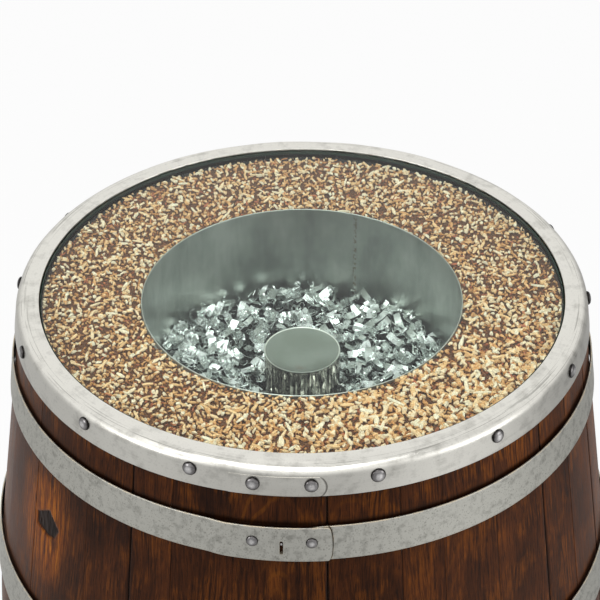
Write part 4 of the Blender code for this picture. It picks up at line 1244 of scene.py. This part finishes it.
studio = dict(
    floorColour="#f2f2f2", floorHalf=9, floorShade=0.06, worldLight=0.5, ceilingColour="#a0a0a0",
    room=[(0.0, "#ffffff"), (0.13, "#bfbfbf"), (0.25, "#bcbcbc"), (0.34, "#cbcbcb"), (0.42, "#bcbcbc"),
          (0.5, "#afafaf"), (0.57, "#c4c4c4"), (0.63, "#efefef"), (0.69, "#e1e1e1"), (0.77, "#a2a2a2"),
          (0.87, "#9b9b9b"), (1.0, "#ffffff")],
    lamps=dict(
        overhead=dict(power=21.0, size=1.5, at=(-0.2, -0.5, 2.9), to=(0, 0, 0.7)),
        left=dict(power=11.0, size=1.1, at=(-2.0, -1.4, 1.9), to=(0, 0, 0.75)),
        right=dict(power=7.0, size=1.1, at=(2.0, -1.0, 1.6), to=(0, 0, 0.75)),
    ),
)


def roomLight(look, direction):
    # what metal and lacquer see of the studio all round, from behind by the left and the front to behind again:
    # pale walls at the back and the sides, a dim floor in front and dark screens beside the barrel
    x, y, up = look.split(direction)
    bearing = look.calc("ARCTAN2", x, look.times(y, -1.0))
    return look.ramp(look.calc("MULTIPLY_ADD", bearing, 0.5 / math.pi, 0.5), *studio["room"]), up


def floorMaterial():
    # pale studio floor that the camera sees as white, with the barrel's shadow kept
    look = newMaterial("paleFloor")
    seen = look.add("LightPath").outputs
    mirrored = look.calc("MAXIMUM", seen["Is Camera Ray"], seen["Is Glossy Ray"])
    share = look.times(look.calc("MAXIMUM", mirrored, seen["Is Transmission Ray"]), 1 - studio["floorShade"])
    room, _ = roomLight(look, look.place())
    white = look.add("Emission", {"Strength": 1.0, "Color": look.blend(seen["Is Glossy Ray"], "#ffffff", room)})
    paint = look.add("BsdfDiffuse", {"Color": studio["floorColour"]})
    return look.finish(look.add("MixShader", {0: share, 1: paint, 2: white}))


half = studio["floorHalf"]
floorMesh = bpy.data.meshes.new("studioFloor")
floorMesh.from_pydata([(-half, -half, 0), (half, -half, 0), (half, half, 0), (-half, half, 0)], [], [(0, 1, 2, 3)])
floorMesh.materials.append(floorMaterial())
placed("studioFloor", floorMesh)

world = bpy.data.worlds.new("studio")
bpy.context.scene.world = world
world.use_nodes = True
world.node_tree.nodes.clear()
sky = Graph(world.node_tree)
seen = sky.add("LightPath").outputs
room, up = roomLight(sky, sky.add("TexCoord").outputs["Generated"])
room = sky.blend(sky.ranged(up, 0.2, 0.5), room, "#ffffff")
room = sky.blend(sky.ranged(up, 0.75, 0.95), room, studio["ceilingColour"])
mirrored = sky.calc("MAXIMUM", seen["Is Glossy Ray"], seen["Is Transmission Ray"])
dim = sky.add("Background", {"Color": "#ffffff", "Strength": studio["worldLight"]})
shown = sky.add("Background", {"Strength": 1.0, "Color": room})
full = sky.add("Background", {"Color": "#ffffff", "Strength": 1.0})
lit = sky.add("MixShader", {0: mirrored, 1: dim, 2: shown})
backdrop = sky.add("MixShader", {0: seen["Is Camera Ray"], 1: lit, 2: full})
sky.add("OutputWorld", {"Surface": backdrop})

for name, look in studio["lamps"].items():
    lamp = bpy.data.lights.new(name, "AREA")
    lamp.shape, lamp.size, lamp.energy = "SQUARE", look["size"], look["power"]
    aim = Vector(look["to"]) - Vector(look["at"])
    placed(name, lamp, look["at"]).rotation_euler = aim.to_track_quat("-Z", "Y").to_euler()

shot = dict(lens=119.2, sensor=36.0, at=(-0.002, -1.6288, 2.0925), pitch=54.518, roll=0.23)
lensData = bpy.data.cameras.new("shot")
lensData.sensor_width, lensData.lens = shot["sensor"], shot["lens"]
camera = placed("shot", lensData, shot["at"])
camera.rotation_mode = "ZYX"
camera.rotation_euler = (math.radians(shot["pitch"]), 0, -math.radians(shot["roll"]))
bpy.context.scene.camera = camera
bpy.context.scene.view_settings.view_transform = "Standard"
print("floor, lights and camera")
